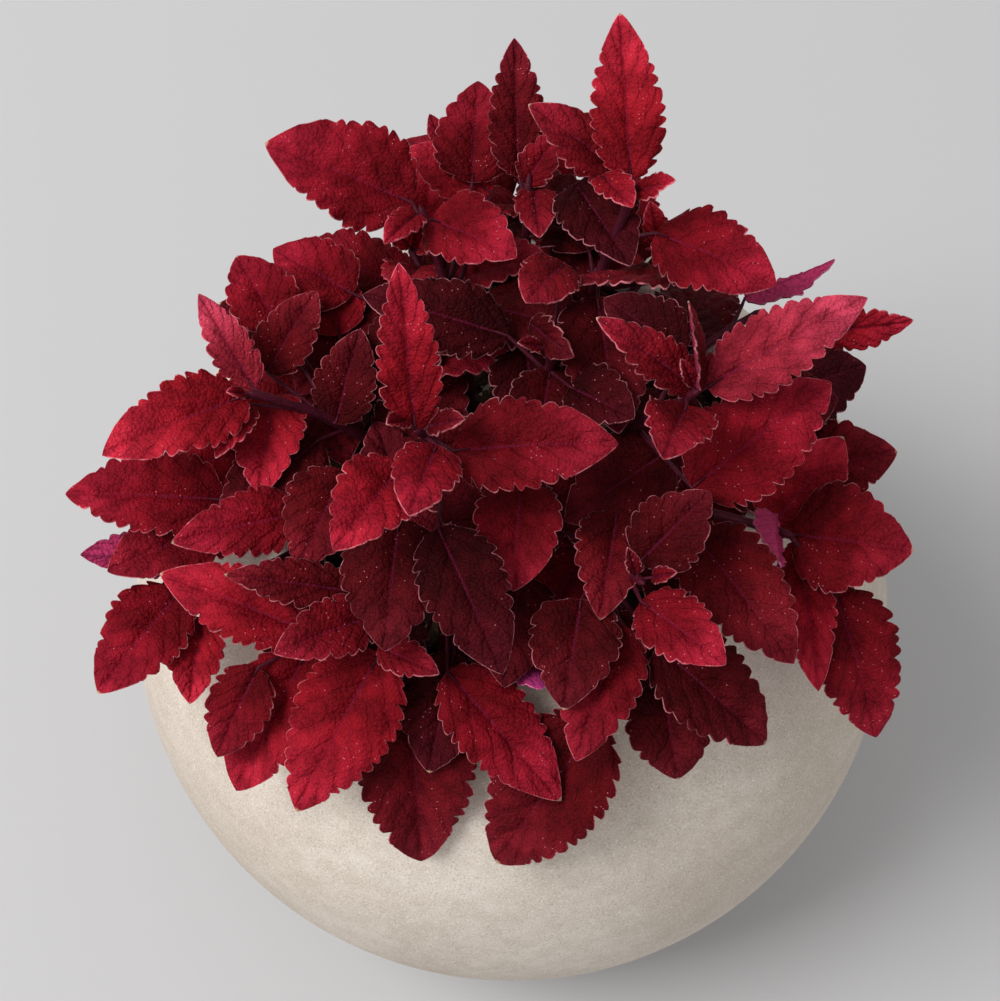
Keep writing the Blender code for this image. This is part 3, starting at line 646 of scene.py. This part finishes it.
def add_tube(mesh, path, radii, sides, square=0.0):
    """Add a closed tube along a path to a bmesh. It is round, or square by a part."""
    before = set(mesh.faces)
    ring = bmesh.ops.create_circle(mesh, cap_ends=True, segments=sides, radius=1)["verts"]
    angles = [math.atan2(vert.co.y, vert.co.x) for vert in ring]
    edges = {edge for vert in ring for edge in vert.link_edges}
    for index, (place, radius) in enumerate(zip(path, radii)):
        if index:
            made = bmesh.ops.extrude_edge_only(mesh, edges=list(edges))["geom"]
            new = {part for part in made if isinstance(part, bmesh.types.BMVert)}
            ring = [next(edge.other_vert(vert) for edge in vert.link_edges
                         if edge.other_vert(vert) in new) for vert in ring]
            edges = {part for part in made if isinstance(part, bmesh.types.BMEdge)
                     and all(vert in new for vert in part.verts)}
        ahead = path[min(index + 1, len(path) - 1)] - path[max(index - 1, 0)]
        side = Vector((0, 1, 0)).cross(ahead).normalized()
        other = ahead.normalized().cross(side)
        for vert, angle in zip(ring, angles):
            reach = radius * (1 - square * abs(math.cos(2 * angle)))
            vert.co = place + side * reach * math.cos(angle) + other * reach * math.sin(angle)
    bmesh.ops.contextual_create(mesh, geom=list(edges))
    tube = [face for face in mesh.faces if face not in before]
    for face in tube:
        face.material_index = 2
    bmesh.ops.recalc_face_normals(mesh, faces=tube)


def fine_stem(tip):
    """The stem's middle line in small steps, and the length from each step to the tip."""
    coarse = stem_path(tip)
    path = [coarse[0], coarse[0].lerp(coarse[1], 0.6), coarse[1]]
    knots = [coarse[1] * 2 - coarse[2]] + coarse[1:] + [coarse[-1] * 2 - coarse[-2]]
    steps = STEM_FINE_STEPS // STEM_STEPS
    for before, near, far, after in zip(knots, knots[1:], knots[2:], knots[3:]):
        for step in range(1, steps + 1):
            part = step / steps
            path.append((near * 2 + (far - before) * part
                         + (before * 2 - near * 5 + far * 4 - after) * part**2
                         + (near * 3 - before - far * 3 + after) * part**3) / 2)
    left = [0.0]
    for lower, upper in zip(path[-2::-1], path[::-1]):
        left.append(left[-1] + (upper - lower).length)
    return path, left[::-1]


def stalk_root(path, leaf):
    """Where a leaf's stalk leaves the stem: the near place that lies a little lower."""
    def cost(place):
        gap = leaf.start - place
        level = math.hypot(gap.x, gap.y)
        return gap.length + 3 * max(LEAST_CLIMB * level - gap.z, 0)

    reach = LOWEST_ROOT * sum((b - a).length for a, b in zip(path[1:], path[2:]))
    places = [along_path(path, reach * trial / ROOT_TRIALS) for trial in range(ROOT_TRIALS + 1)]
    return min(places, key=cost)


def add_stem(mesh, tip, roots):
    """Add the square stem, thinner to its tip and a little swollen at its stalks."""
    path, left = fine_stem(tip)
    above_soil = left[2]
    radii = []
    for place, length in zip(path, left):
        part = min(length / above_soil, 1)
        swelling = max(math.exp(-((place - root).length / NODE_REACH) ** 2) for root in roots)
        radii.append(STEM_TOP + (STEM_BASE - STEM_TOP) * part + NODE_SWELLING * swelling)
    ahead, thin = STEM_END
    path.append(path[-1] + (path[-1] - path[-2]).normalized() * ahead * STEM_TOP)
    radii[0:2] = [STEM_BASE, STEM_BASE]
    radii.append(thin * STEM_TOP)
    add_tube(mesh, path, radii, STEM_SIDES, SQUARENESS)


def add_stalk(mesh, root, leaf):
    """Add the leaf's stalk, which ends a little way along the midrib."""
    base = leaf.start
    end, normal = leaf.point(STALK_END, 0)
    end -= normal * FINE_THICKNESS
    path = [root.lerp(base, step / STALK_STEPS) for step in range(STALK_STEPS)]
    path += [base - normal * STALK_SINK, end]
    radius = STALK_RADIUS * (0.6 + 0.4 * min(leaf.length / LONG_STALK_LEAF, 1))
    radii = [radius * (STALK_THICK - STALK_TAPER * step / STALK_STEPS)
             for step in range(STALK_STEPS)]
    radii += [radius * part for part in STALK_TIP]
    add_tube(mesh, path, radii, STALK_SIDES)


# %% [markdown]
# Colours of the leaves
#
# The leaves run from scarlet at the tips of the stems to burgundy and near black
# deeper in the crown, and a few that are turned over show magenta. The tones are
# partly each leaf's own colour and age and partly painted light and shade: the dark
# ones paint the shade of the crown, the bright ones the light on the outer leaves,
# and one pale pinkish red paints the velvet's sheen. Each leaf has one of these
# tones, which its material then varies. The colours are given as they look on a
# screen, and turned to the light values that a shader needs.

# %% Tones
def screen_colour(red, green, blue):
    """A colour given as it looks on a screen, from 0 to 255, as light values."""
    parts = [value / 255 for value in (red, green, blue)]
    return tuple(part / 12.92 if part <= 0.04045 else ((part + 0.055) / 1.055) ** 2.4
                 for part in parts)


# Partly painted light and shade: dark tones for shaded leaves in the crown, bright ones for lit
# leaves, and a pale red with painted sheen.
TONES = {
    "scarlet": (163, 22, 34),
    "cherry": (149, 18, 30),
    "crimson": (136, 14, 26),
    "carmine": (122, 11, 23),
    "ruby": (107, 9, 19),
    "wine": (90, 8, 15),
    "burgundy": (73, 6, 11),
    "plum": (58, 4, 8),
    "shade": (44, 3, 6),
    "frosted": (152, 32, 47),
    "magenta": (150, 34, 80),
}
print("tones:", ", ".join(TONES))

# %% [markdown]
# Material helpers
#
# A procedural material is a small graph of nodes. A few helpers keep the graphs
# short: they add a node and fill or link its inputs, do arithmetic, mix colours, and
# give a shader its colour and its bumps.

# %% Node helpers
COLOUR_MIX_INPUTS = (0, 6, 7)
COLOUR_MIX_OUTPUT = 2


def new_material(name, **constants):
    """A new material, its node tree and its Principled shader with constant inputs."""
    material = bpy.data.materials.new(name)
    material.use_nodes = True
    shader = material.node_tree.nodes["Principled BSDF"]
    for key, value in constants.items():
        shader.inputs[key.replace("_", " ")].default_value = value
    return material, material.node_tree, shader


def feed(tree, socket, value):
    """Give an input a number, a colour, or a link from another node."""
    if isinstance(value, bpy.types.NodeSocket):
        tree.links.new(value, socket)
    else:
        socket.default_value = (*value, 1) if isinstance(value, tuple) else value


def add_node(tree, kind, settings=(), **inputs):
    """Add a node, set its options and feed its inputs."""
    node = tree.nodes.new("ShaderNode" + kind)
    for key, value in dict(settings).items():
        setattr(node, key, value)
    for key, value in inputs.items():
        feed(tree, node.inputs[key.replace("_", " ")], value)
    return node


def reckon(tree, operation, first, second=0.0):
    """The result of an operation on two numbers or sockets."""
    node = add_node(tree, "Math", {"operation": operation})
    feed(tree, node.inputs[0], first)
    feed(tree, node.inputs[1], second)
    return node.outputs[0]


def ramp(tree, value, low, high, start=0.0, end=1.0):
    """A soft change from start to end as the value goes from low to high."""
    node = add_node(tree, "MapRange", {"interpolation_type": "SMOOTHSTEP"},
                    Value=value, From_Min=low, From_Max=high, To_Min=start, To_Max=end)
    return node.outputs["Result"]


def mix(tree, factor, first, second, blend="MIX"):
    """A mix of two colours, each a colour or a socket."""
    node = add_node(tree, "Mix", {"data_type": "RGBA", "blend_type": blend})
    for socket, value in zip(COLOUR_MIX_INPUTS, (factor, first, second)):
        feed(tree, node.inputs[socket], value)
    return node.outputs[COLOUR_MIX_OUTPUT]


def layered(tree, colour, layers):
    """The colour under layers, each with a mask and a colour as on a screen."""
    for mask, tint in layers:
        colour = mix(tree, mask, colour, screen_colour(*tint))
    return colour


def tinted(tree, colour, factors):
    """The colour times a factor for each of its three parts."""
    return mix(tree, 1.0, colour, factors, "MULTIPLY")


def product(tree, first, second):
    """Two numbers or sockets multiplied."""
    return reckon(tree, "MULTIPLY", first, second)


def noise_value(tree, place, scale, detail, settings=(), **inputs):
    """The value of a noise texture at a place."""
    return add_node(tree, "TexNoise", settings, Vector=place, Scale=scale, Detail=detail,
                    **inputs).outputs[0]


def dress(tree, shader, colour, height, strength, distance):
    """Give the shader its colour, and bumps that follow a height."""
    bump = add_node(tree, "Bump", Strength=strength, Distance=distance, Height=height)
    tree.links.new(colour, shader.inputs["Base Color"])
    tree.links.new(bump.outputs[0], shader.inputs["Normal"])


def read(tree, name, output="Vector"):
    """What the mesh carries under a name, as a vector or a colour."""
    return add_node(tree, "Attribute", {"attribute_name": name}).outputs[output]


def split(tree, vector):
    """The X, Y and Z parts of a vector or a colour."""
    return add_node(tree, "SeparateXYZ", Vector=vector).outputs


# %% [markdown]
# Leaf material
#
# The top of a leaf is velvety: a dull red skin, dark near the stalk, brighter to the
# tip, with a fine pale grain and a few specks of dust. The darkness near the stalk is
# partly the leaf's own colour and partly painted shade of the crown, and a painted
# pink sheen grows towards the tip. The veins and the small cells between them get
# painted shade in their grooves, and each vein a faint painted highlight line. A thin
# pale rim runs round the edge, stronger in some stretches than in others, and some
# leaves have a pale tip. The underside is magenta, and its veins are raised and darker.

# %% Leaf materials
RIM_PINK = screen_colour(214, 138, 148)
PALE_TIP = screen_colour(226, 200, 170)
VEIN_PURPLE = screen_colour(96, 20, 52)


def leaf_parts(tree):
    """What the leaf's points say: the part of its length, and masks from 0 to 1."""
    form = split(tree, read(tree, "form"))
    skin = split(tree, read(tree, "skin"))
    patches = noise_value(tree, add_node(tree, "TexCoord").outputs["Object"], 130, 1)
    nearest = reckon(tree, "SUBTRACT", reckon(tree, "FRACT", form["Z"]), 0.5)
    nearest = reckon(tree, "ABSOLUTE", nearest)
    veins = ramp(tree, nearest, 0.30, 0.5)
    lines = ramp(tree, nearest, 0.475, 0.495)
    midrib = ramp(tree, reckon(tree, "ABSOLUTE", skin["Y"]), 0.0008, 0.0002)
    rim = product(tree, ramp(tree, form["Y"], 0.52, 0.14),
                  ramp(tree, patches, 0.38, 0.62, 0.2, 1))
    tip = product(tree, ramp(tree, form["X"], 0.972, 0.995), ramp(tree, skin["Z"], 0.60, 0.66))
    return {"along": form["X"], "veins": veins, "lines": lines, "midrib": midrib, "rim": rim,
            "tip": tip}


def make_leaf_top():
    """The velvety red top of the leaves."""
    material, tree, shader = new_material(
        "velvety red leaf", Roughness=0.55, Specular_IOR_Level=0.03, Sheen_Weight=0.01,
        Sheen_Roughness=0.4, Sheen_Tint=(1.0, 0.30, 0.40, 1))
    parts = leaf_parts(tree)
    skin = read(tree, "skin")
    tone = read(tree, "tone", "Color")
    flat = {"noise_dimensions": "2D"}
    clouds = noise_value(tree, skin, 60, 2, flat)
    grain = noise_value(tree, skin, 1500, 1, flat)
    bend = add_node(tree, "TexNoise", flat, Vector=skin, Scale=260, Detail=0).outputs["Color"]
    bent_skin = mix(tree, 1.0, skin, tinted(tree, bend, (0.0016, 0.0016, 0)), "ADD")
    cells = add_node(tree, "TexVoronoi", {"voronoi_dimensions": "2D", "feature": "SMOOTH_F1"},
                     Vector=bent_skin, Scale=560, Smoothness=0.6).outputs["Distance"]
    dust = add_node(tree, "TexVoronoi", {"voronoi_dimensions": "2D"}, Vector=skin, Scale=420)
    chosen = split(tree, dust.outputs["Color"])["X"]

    # Darker near the stalk, brighter to the tip: partly the leaf's own colour, partly painted
    # shade of the crown at the base.
    growth_and_painted_shade = ramp(tree, parts["along"], 0.15, 0.95, 0.74, 1.50)
    growth_and_painted_shade = add_node(tree, "CombineXYZ", X=growth_and_painted_shade, Y=growth_and_painted_shade, Z=growth_and_painted_shade).outputs[0]
    colour = tinted(tree, tone, growth_and_painted_shade)
    colour = mix(tree, ramp(tree, clouds, 0.36, 0.66), tinted(tree, colour, (0.66, 0.60, 0.62)),
                 colour)
    # Painted sheen: the velvet's pink sheen, stronger towards the tip.
    painted_tip_sheen = tinted(tree, colour, (1.15, 2.4, 2.4))
    colour = mix(tree, ramp(tree, parts["along"], 0.30, 0.95, 0.15, 0.9), colour, painted_tip_sheen)

    # Painted shade in the grooves: along the veins, and in patches along the edges of the small
    # cells.
    crease_shade_patches = ramp(tree, clouds, 0.62, 0.40, 0.12, 0.42)
    painted_crease_shade = reckon(tree, "MAXIMUM", product(tree, parts["veins"], 0.32),
                     product(tree, ramp(tree, cells, 0.32, 0.66), crease_shade_patches))
    colour = mix(tree, painted_crease_shade, colour, tinted(tree, colour, (0.30, 0.24, 0.30)))
    base = product(tree, parts["midrib"], ramp(tree, parts["along"], 0.9, 0.1, 0.1, 0.5))
    colour = mix(tree, base, colour, VEIN_PURPLE)

    pale = mix(tree, 0.03, tinted(tree, colour, (1.9, 2.6, 2.4)), RIM_PINK)
    colour = mix(tree, ramp(tree, grain, 0.52, 0.78, 0, 0.55), colour, pale)
    # Painted highlight: a faint pale line along each vein.
    colour = mix(tree, product(tree, parts["lines"], 0.35), colour, pale)
    speck = product(tree, ramp(tree, dust.outputs["Distance"], 0.13, 0.05, 0, 0.8),
                    ramp(tree, reckon(tree, "ADD", chosen, clouds), 1.50, 1.52))
    colour = mix(tree, speck, colour, RIM_PINK)
    rim = mix(tree, 0.60, tinted(tree, colour, (2.2, 3.0, 2.8)), RIM_PINK)
    colour = mix(tree, product(tree, parts["rim"], 0.95), colour, rim)
    colour = mix(tree, product(tree, parts["tip"], 0.6), colour, PALE_TIP)

    height = reckon(tree, "SUBTRACT", product(tree, parts["veins"], -0.5), cells)
    height = reckon(tree, "ADD", height, product(tree, grain, 0.5))
    dress(tree, shader, colour, height, 1.0, 0.0008)
    return material


def make_leaf_underside():
    """The magenta underside, with raised veins."""
    material, tree, shader = new_material("magenta leaf underside", Roughness=0.65,
                                          Specular_IOR_Level=0.15)
    parts = leaf_parts(tree)
    tone = read(tree, "tone", "Color")
    cells = add_node(tree, "TexVoronoi", {"voronoi_dimensions": "2D"}, Vector=read(tree, "skin"),
                     Scale=520).outputs["Distance"]
    colour = mix(tree, 0.55, tone, screen_colour(178, 48, 96))
    dark = tinted(tree, colour, (0.45, 0.32, 0.42))
    colour = mix(tree, ramp(tree, cells, 0.25, 0.70, 0, 0.45), colour, dark)
    lines = reckon(tree, "MAXIMUM", parts["lines"], parts["midrib"])
    colour = mix(tree, product(tree, lines, 0.6), colour, dark)
    colour = mix(tree, product(tree, parts["rim"], 0.5), colour, RIM_PINK)
    dress(tree, shader, colour, reckon(tree, "SUBTRACT", parts["veins"], cells), 0.7, 0.0008)
    return material


def make_stem_purple():
    """The dark purple skin of stems and stalks, with short pale hairs."""
    material, tree, shader = new_material("purple stem", Roughness=0.5, Specular_IOR_Level=0.1,
                                          Sheen_Weight=0.02, Sheen_Tint=(1.0, 0.4, 0.6, 1))
    place = add_node(tree, "TexCoord").outputs["Object"]
    clouds = noise_value(tree, place, 160, 3)
    hairs = noise_value(tree, place, 1800, 1)
    colour = mix(tree, clouds, screen_colour(34, 5, 13), screen_colour(78, 10, 34))
    colour = mix(tree, ramp(tree, hairs, 0.62, 0.72, 0, 0.12), colour, RIM_PINK)
    dress(tree, shader, colour, hairs, 0.4, 0.0004)
    return material


# %% [markdown]
# Put each leafy stem together
#
# One piece holds a stem, its stalks and its blades, and it stands for the plain
# leafy stem of the solid model.

# %% Leafy stems
LEAF_FINISHES = [make_leaf_top(), make_leaf_underside(), make_stem_purple()]


def new_object(name, mesh):
    """An object of this name in the scene, from a bmesh that is then freed."""
    data = bpy.data.meshes.new(name)
    mesh.to_mesh(data)
    mesh.free()
    thing = bpy.data.objects.new(name, data)
    bpy.context.collection.objects.link(thing)
    return thing


def make_leafy_stem(stem):
    """One leafy stem with fine leaves, in place of the plain one."""
    mesh = bmesh.new()
    mesh.verts.layers.float_vector.new("skin")
    mesh.verts.layers.float_vector.new("form")
    mesh.verts.layers.float_color.new("tone")
    roots = [stalk_root(PATHS[stem], leaf) for leaf in LEAVES[stem]]
    add_stem(mesh, TIPS[stem], roots)
    for root, leaf in zip(roots, LEAVES[stem]):
        add_stalk(mesh, root, leaf)
        add_blade(mesh, leaf)
    piece = new_object("foliage_" + stem, mesh)
    piece.data.shade_smooth()
    for finish in LEAF_FINISHES:
        piece.data.materials.append(finish)
    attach(piece, "root")
    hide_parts("leafy_stem_" + stem)
    return piece


FOLIAGE = [make_leafy_stem(stem) for stem in STEMS]
print("foliage triangles:", sum(2 * len(piece.data.polygons) for piece in FOLIAGE))

# %% [markdown]
# The pot
#
# The pot is a cast ball with a flat foot and an open top. A half outline is spun
# round the upright axis, and three drain holes are cut through the floor.

# %% Pot shape
POT_RADIUS = 0.225
POT_CENTRE_HEIGHT = 0.190
POT_WALL = 0.015
POT_FLOOR = 0.018
RIM_HEIGHT = 0.370
POT_SIDES = 144
POT_STEPS = 56
LIP_STEPS = 8
FOOT_ROUND = 0.004
DRAIN_HOLES = 3
DRAIN_RADIUS = 0.007
DRAIN_CIRCLE = 0.055
DRAIN_SIDES = 24
SHARP_EDGE = math.radians(40)
SAME_PLACE = 0.00001
RIM_ANGLE = math.asin((RIM_HEIGHT - POT_CENTRE_HEIGHT) / POT_RADIUS)


def ball_arc(radius, low, high, steps):
    """Points of a ball's half outline between two heights, from the low one up."""
    low, high = (math.asin((height - POT_CENTRE_HEIGHT) / radius) for height in (low, high))
    angles = [low + (high - low) * step / steps for step in range(steps + 1)]
    return [(radius * math.cos(a), POT_CENTRE_HEIGHT + radius * math.sin(a)) for a in angles]


def lip_arc():
    """The rounded rim, from the outside of the wall to the inside."""
    middle = POT_RADIUS - POT_WALL / 2
    points = []
    for step in range(1, LIP_STEPS):
        turn = math.pi * step / LIP_STEPS
        reach = middle + POT_WALL / 2 * math.cos(turn)
        rise = POT_WALL / 2 * math.sin(turn)
        points.append((reach * math.cos(RIM_ANGLE) - rise * math.sin(RIM_ANGLE),
                       POT_CENTRE_HEIGHT + reach * math.sin(RIM_ANGLE)
                       + rise * math.cos(RIM_ANGLE)))
    return points


def spun(name, outline, steps):
    """A closed round solid from its half outline, which starts and ends on the axis."""
    mesh = bmesh.new()
    points = [mesh.verts.new((radius, 0, height)) for radius, height in outline]
    edges = [mesh.edges.new(pair) for pair in zip(points, points[1:])]
    bmesh.ops.spin(mesh, geom=points + edges, cent=(0, 0, 0), axis=(0, 0, 1), angle=math.tau,
                   steps=steps, use_merge=True, use_duplicate=False)
    bmesh.ops.remove_doubles(mesh, verts=mesh.verts, dist=SAME_PLACE)
    bmesh.ops.recalc_face_normals(mesh, faces=mesh.faces)
    thing = new_object(name, mesh)
    thing.data.shade_smooth()
    return thing


def make_pot():
    """The cast pot with its drain holes."""
    inner = POT_RADIUS - POT_WALL
    inner_rim = POT_CENTRE_HEIGHT + inner * math.sin(RIM_ANGLE)
    outside = ball_arc(POT_RADIUS, FOOT_ROUND / 2, RIM_HEIGHT, POT_STEPS)
    foot = outside[0][0] - FOOT_ROUND / 2
    inside = ball_arc(inner, POT_FLOOR, inner_rim, POT_STEPS // 2)
    outline = [(0, 0), (foot * 0.5, 0), (foot, 0)] + outside + lip_arc() + inside[::-1]
    pot = spun("cast_pot", outline + [(0, POT_FLOOR)], POT_SIDES)
    cutter = bmesh.new()
    for index in range(DRAIN_HOLES):
        turn = math.tau * (index + 0.5) / DRAIN_HOLES
        place = Matrix.Translation((DRAIN_CIRCLE * math.cos(turn), DRAIN_CIRCLE * math.sin(turn),
                                    POT_FLOOR / 2))
        bmesh.ops.create_cone(cutter, cap_ends=True, segments=DRAIN_SIDES, radius1=DRAIN_RADIUS,
                              radius2=DRAIN_RADIUS, depth=2 * POT_FLOOR, matrix=place)
    drains = new_object("drain cutter", cutter)
    cut = pot.modifiers.new("Drain holes", "BOOLEAN")
    cut.operation = "DIFFERENCE"
    cut.object = drains
    graph = bpy.context.evaluated_depsgraph_get()
    pot.data = bpy.data.meshes.new_from_object(pot.evaluated_get(graph))
    pot.modifiers.clear()
    bpy.data.objects.remove(drains)
    pot.data.set_sharp_from_angle(angle=SHARP_EDGE)
    return pot


# %% [markdown]
# Cast stone
#
# Cast stone is pale and sandy. Three sizes of noise make it: clouds as wide as a hand,
# mottling, and grain like sand. Small dark scuffs show only where a twisted noise
# peaks. A faint pale band runs round the lower half at one height.

# %% Pot material
PALE_BAND_HEIGHT = 0.146
PALE_BAND_WIDTH = 0.0011


def make_cast_stone():
    """Pale sandy cast stone."""
    material, tree, shader = new_material("pale cast stone", Roughness=0.85,
                                          Specular_IOR_Level=0.3)
    place = add_node(tree, "TexCoord").outputs["Object"]
    height = split(tree, place)["Z"]
    clouds = noise_value(tree, place, 7, 4, Roughness=0.6)
    mottle = noise_value(tree, place, 90, 4)
    grain = noise_value(tree, place, 900, 2)
    scuffs = noise_value(tree, place, 38, 6, Distortion=0.6)
    away = reckon(tree, "ABSOLUTE", reckon(tree, "SUBTRACT", height, PALE_BAND_HEIGHT))
    colour = layered(tree, screen_colour(194, 182, 170), (
        (ramp(tree, clouds, 0.35, 0.68), (213, 203, 193)),
        (ramp(tree, mottle, 0.3, 0.7, 0, 0.35), (178, 166, 151)),
        (ramp(tree, grain, 0.56, 0.70, 0, 0.5), (236, 229, 221)),
        (ramp(tree, grain, 0.44, 0.32, 0, 0.45), (144, 133, 118)),
        (ramp(tree, scuffs, 0.73, 0.79, 0, 0.5), (92, 86, 74)),
        # A pale band round the lower half at one height.
        (ramp(tree, away, PALE_BAND_WIDTH, 0, 0, 0.4), (226, 221, 204)),
    ))
    relief_height = reckon(tree, "ADD", grain, product(tree, mottle, 1.5))
    dress(tree, shader, colour, relief_height, 0.35, 0.0006)
    return material


POT = make_pot()
POT.data.materials.clear()
POT.data.materials.append(make_cast_stone())
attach(POT, "root")
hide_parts("pot")
print("pot faces:", len(POT.data.polygons))

# %% [markdown]
# The soil
#
# Dark potting soil fills the pot to just under the rim. It is spun like the pot, its
# top has close rings so that noise can raise it into crumbs, and it is drawn a hair
# smaller than the pot's inside.

# %% Soil
SOIL_MOUND = 0.004
SOIL_RINGS = 70
SOIL_SIDES = 160
CRUMB_HEIGHT = 0.0035
CRUMB_SCALES = (160, 420)
CRUMB_END = 0.995
CRUMB_FADE = 0.95
SOIL_SIDE_STEPS = 16


def make_soil():
    """A crumbly filling with a low mound."""
    side = ball_arc(POT_RADIUS - POT_WALL - CLEARANCE, POT_FLOOR + CLEARANCE, SOIL_HEIGHT,
                    SOIL_SIDE_STEPS)
    edge = side[-1][0]
    outline = [(0, POT_FLOOR + CLEARANCE)] + side
    for step in range(SOIL_RINGS - 1, -1, -1):
        part = step / SOIL_RINGS
        outline.append((edge * part, SOIL_HEIGHT + SOIL_MOUND * (1 - part)))
    soil = spun("crumbly_soil", outline, SOIL_SIDES)
    for vert in soil.data.vertices:
        part = math.hypot(vert.co.x, vert.co.y) / edge
        if vert.co.z >= SOIL_HEIGHT - SAME_PLACE and part < CRUMB_END:
            coarse, fine = (noise.noise(vert.co * scale) for scale in CRUMB_SCALES)
            vert.co.z += CRUMB_HEIGHT * (coarse + 0.6 * fine) * smooth(1, CRUMB_FADE, part)
    return soil


def make_soil_brown():
    """Dark potting soil with bits of bark and a few pale grains."""
    material, tree, shader = new_material("potting soil", Roughness=0.95, Specular_IOR_Level=0.2)
    place = add_node(tree, "TexCoord").outputs["Object"]
    clumps = noise_value(tree, place, 140, 5)
    bits = add_node(tree, "TexVoronoi", Vector=place, Scale=260)
    pick = split(tree, bits.outputs["Color"])["X"]
    colour = layered(tree, screen_colour(26, 18, 14), (
        (ramp(tree, clumps, 0.3, 0.7), (68, 50, 38)),
        (ramp(tree, pick, 0.90, 0.93, 0, 0.6), (112, 84, 58)),
        (ramp(tree, pick, 0.04, 0.02, 0, 0.7), (196, 190, 176)),
    ))
    height = reckon(tree, "SUBTRACT", clumps, bits.outputs["Distance"])
    dress(tree, shader, colour, height, 0.8, 0.002)
    return material


SOIL = make_soil()
SOIL.data.materials.append(make_soil_brown())
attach(SOIL, "root")
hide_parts("soil")
print("soil faces:", len(SOIL.data.polygons))

# %% [markdown]
# Floor and light
#
# A pale floor, an even sky and one large soft lamp, high on the left and a little to
# the front, give the calm light of a bright day with an open sky.

# %% Stage
LAMP_PLACE = Vector((-3.4, -1.0, 5.4))
PLANT_MIDDLE = Vector((0, 0, 0.30))


def make_floor():
    """A plain pale floor."""
    mesh = bmesh.new()
    bmesh.ops.create_grid(mesh, x_segments=1, y_segments=1, size=6)
    floor = new_object("floor", mesh)
    material, _, shader = new_material("pale floor", Roughness=0.9, Specular_IOR_Level=0.2)
    shader.inputs["Base Color"].default_value = (0.482, 0.484, 0.496, 1)
    floor.data.materials.append(material)


def light_scene():
    """An even sky and one large soft lamp that faces the plant."""
    world = bpy.data.worlds.new("sky")
    world.use_nodes = True
    background = world.node_tree.nodes["Background"]
    background.inputs["Color"].default_value = (0.975, 0.965, 0.95, 1)
    background.inputs["Strength"].default_value = 0.62
    bpy.context.scene.world = world
    light = bpy.data.lights.new("soft lamp", "AREA")
    light.size = 3.0
    light.energy = 370
    light.color = (1.0, 0.985, 0.97)
    lamp = bpy.data.objects.new("soft lamp", light)
    lamp.location = LAMP_PLACE
    lamp.rotation_euler = (PLANT_MIDDLE - LAMP_PLACE).to_track_quat("-Z", "Y").to_euler()
    bpy.context.collection.objects.link(lamp)


make_floor()
light_scene()

# %% [markdown]
# Camera
#
# The camera stands in front of the pot and looks down on it at about sixty degrees,
# from a little over a metre away.

# %% Camera
AIM = Vector((-0.0067, 0.0533, 0.2196))
CAMERA_DISTANCE = 1.1407
FIELD_OF_VIEW = math.radians(30)

camera = bpy.data.objects.new("camera", bpy.data.cameras.new("camera"))
camera.data.angle = FIELD_OF_VIEW
camera.location = AIM + TO_VIEWER * CAMERA_DISTANCE
camera.rotation_euler = (-TO_VIEWER).to_track_quat("-Z", "Y").to_euler()
bpy.context.collection.objects.link(camera)
bpy.context.scene.camera = camera
bpy.context.scene.view_settings.view_transform = "Standard"

# %% [markdown]
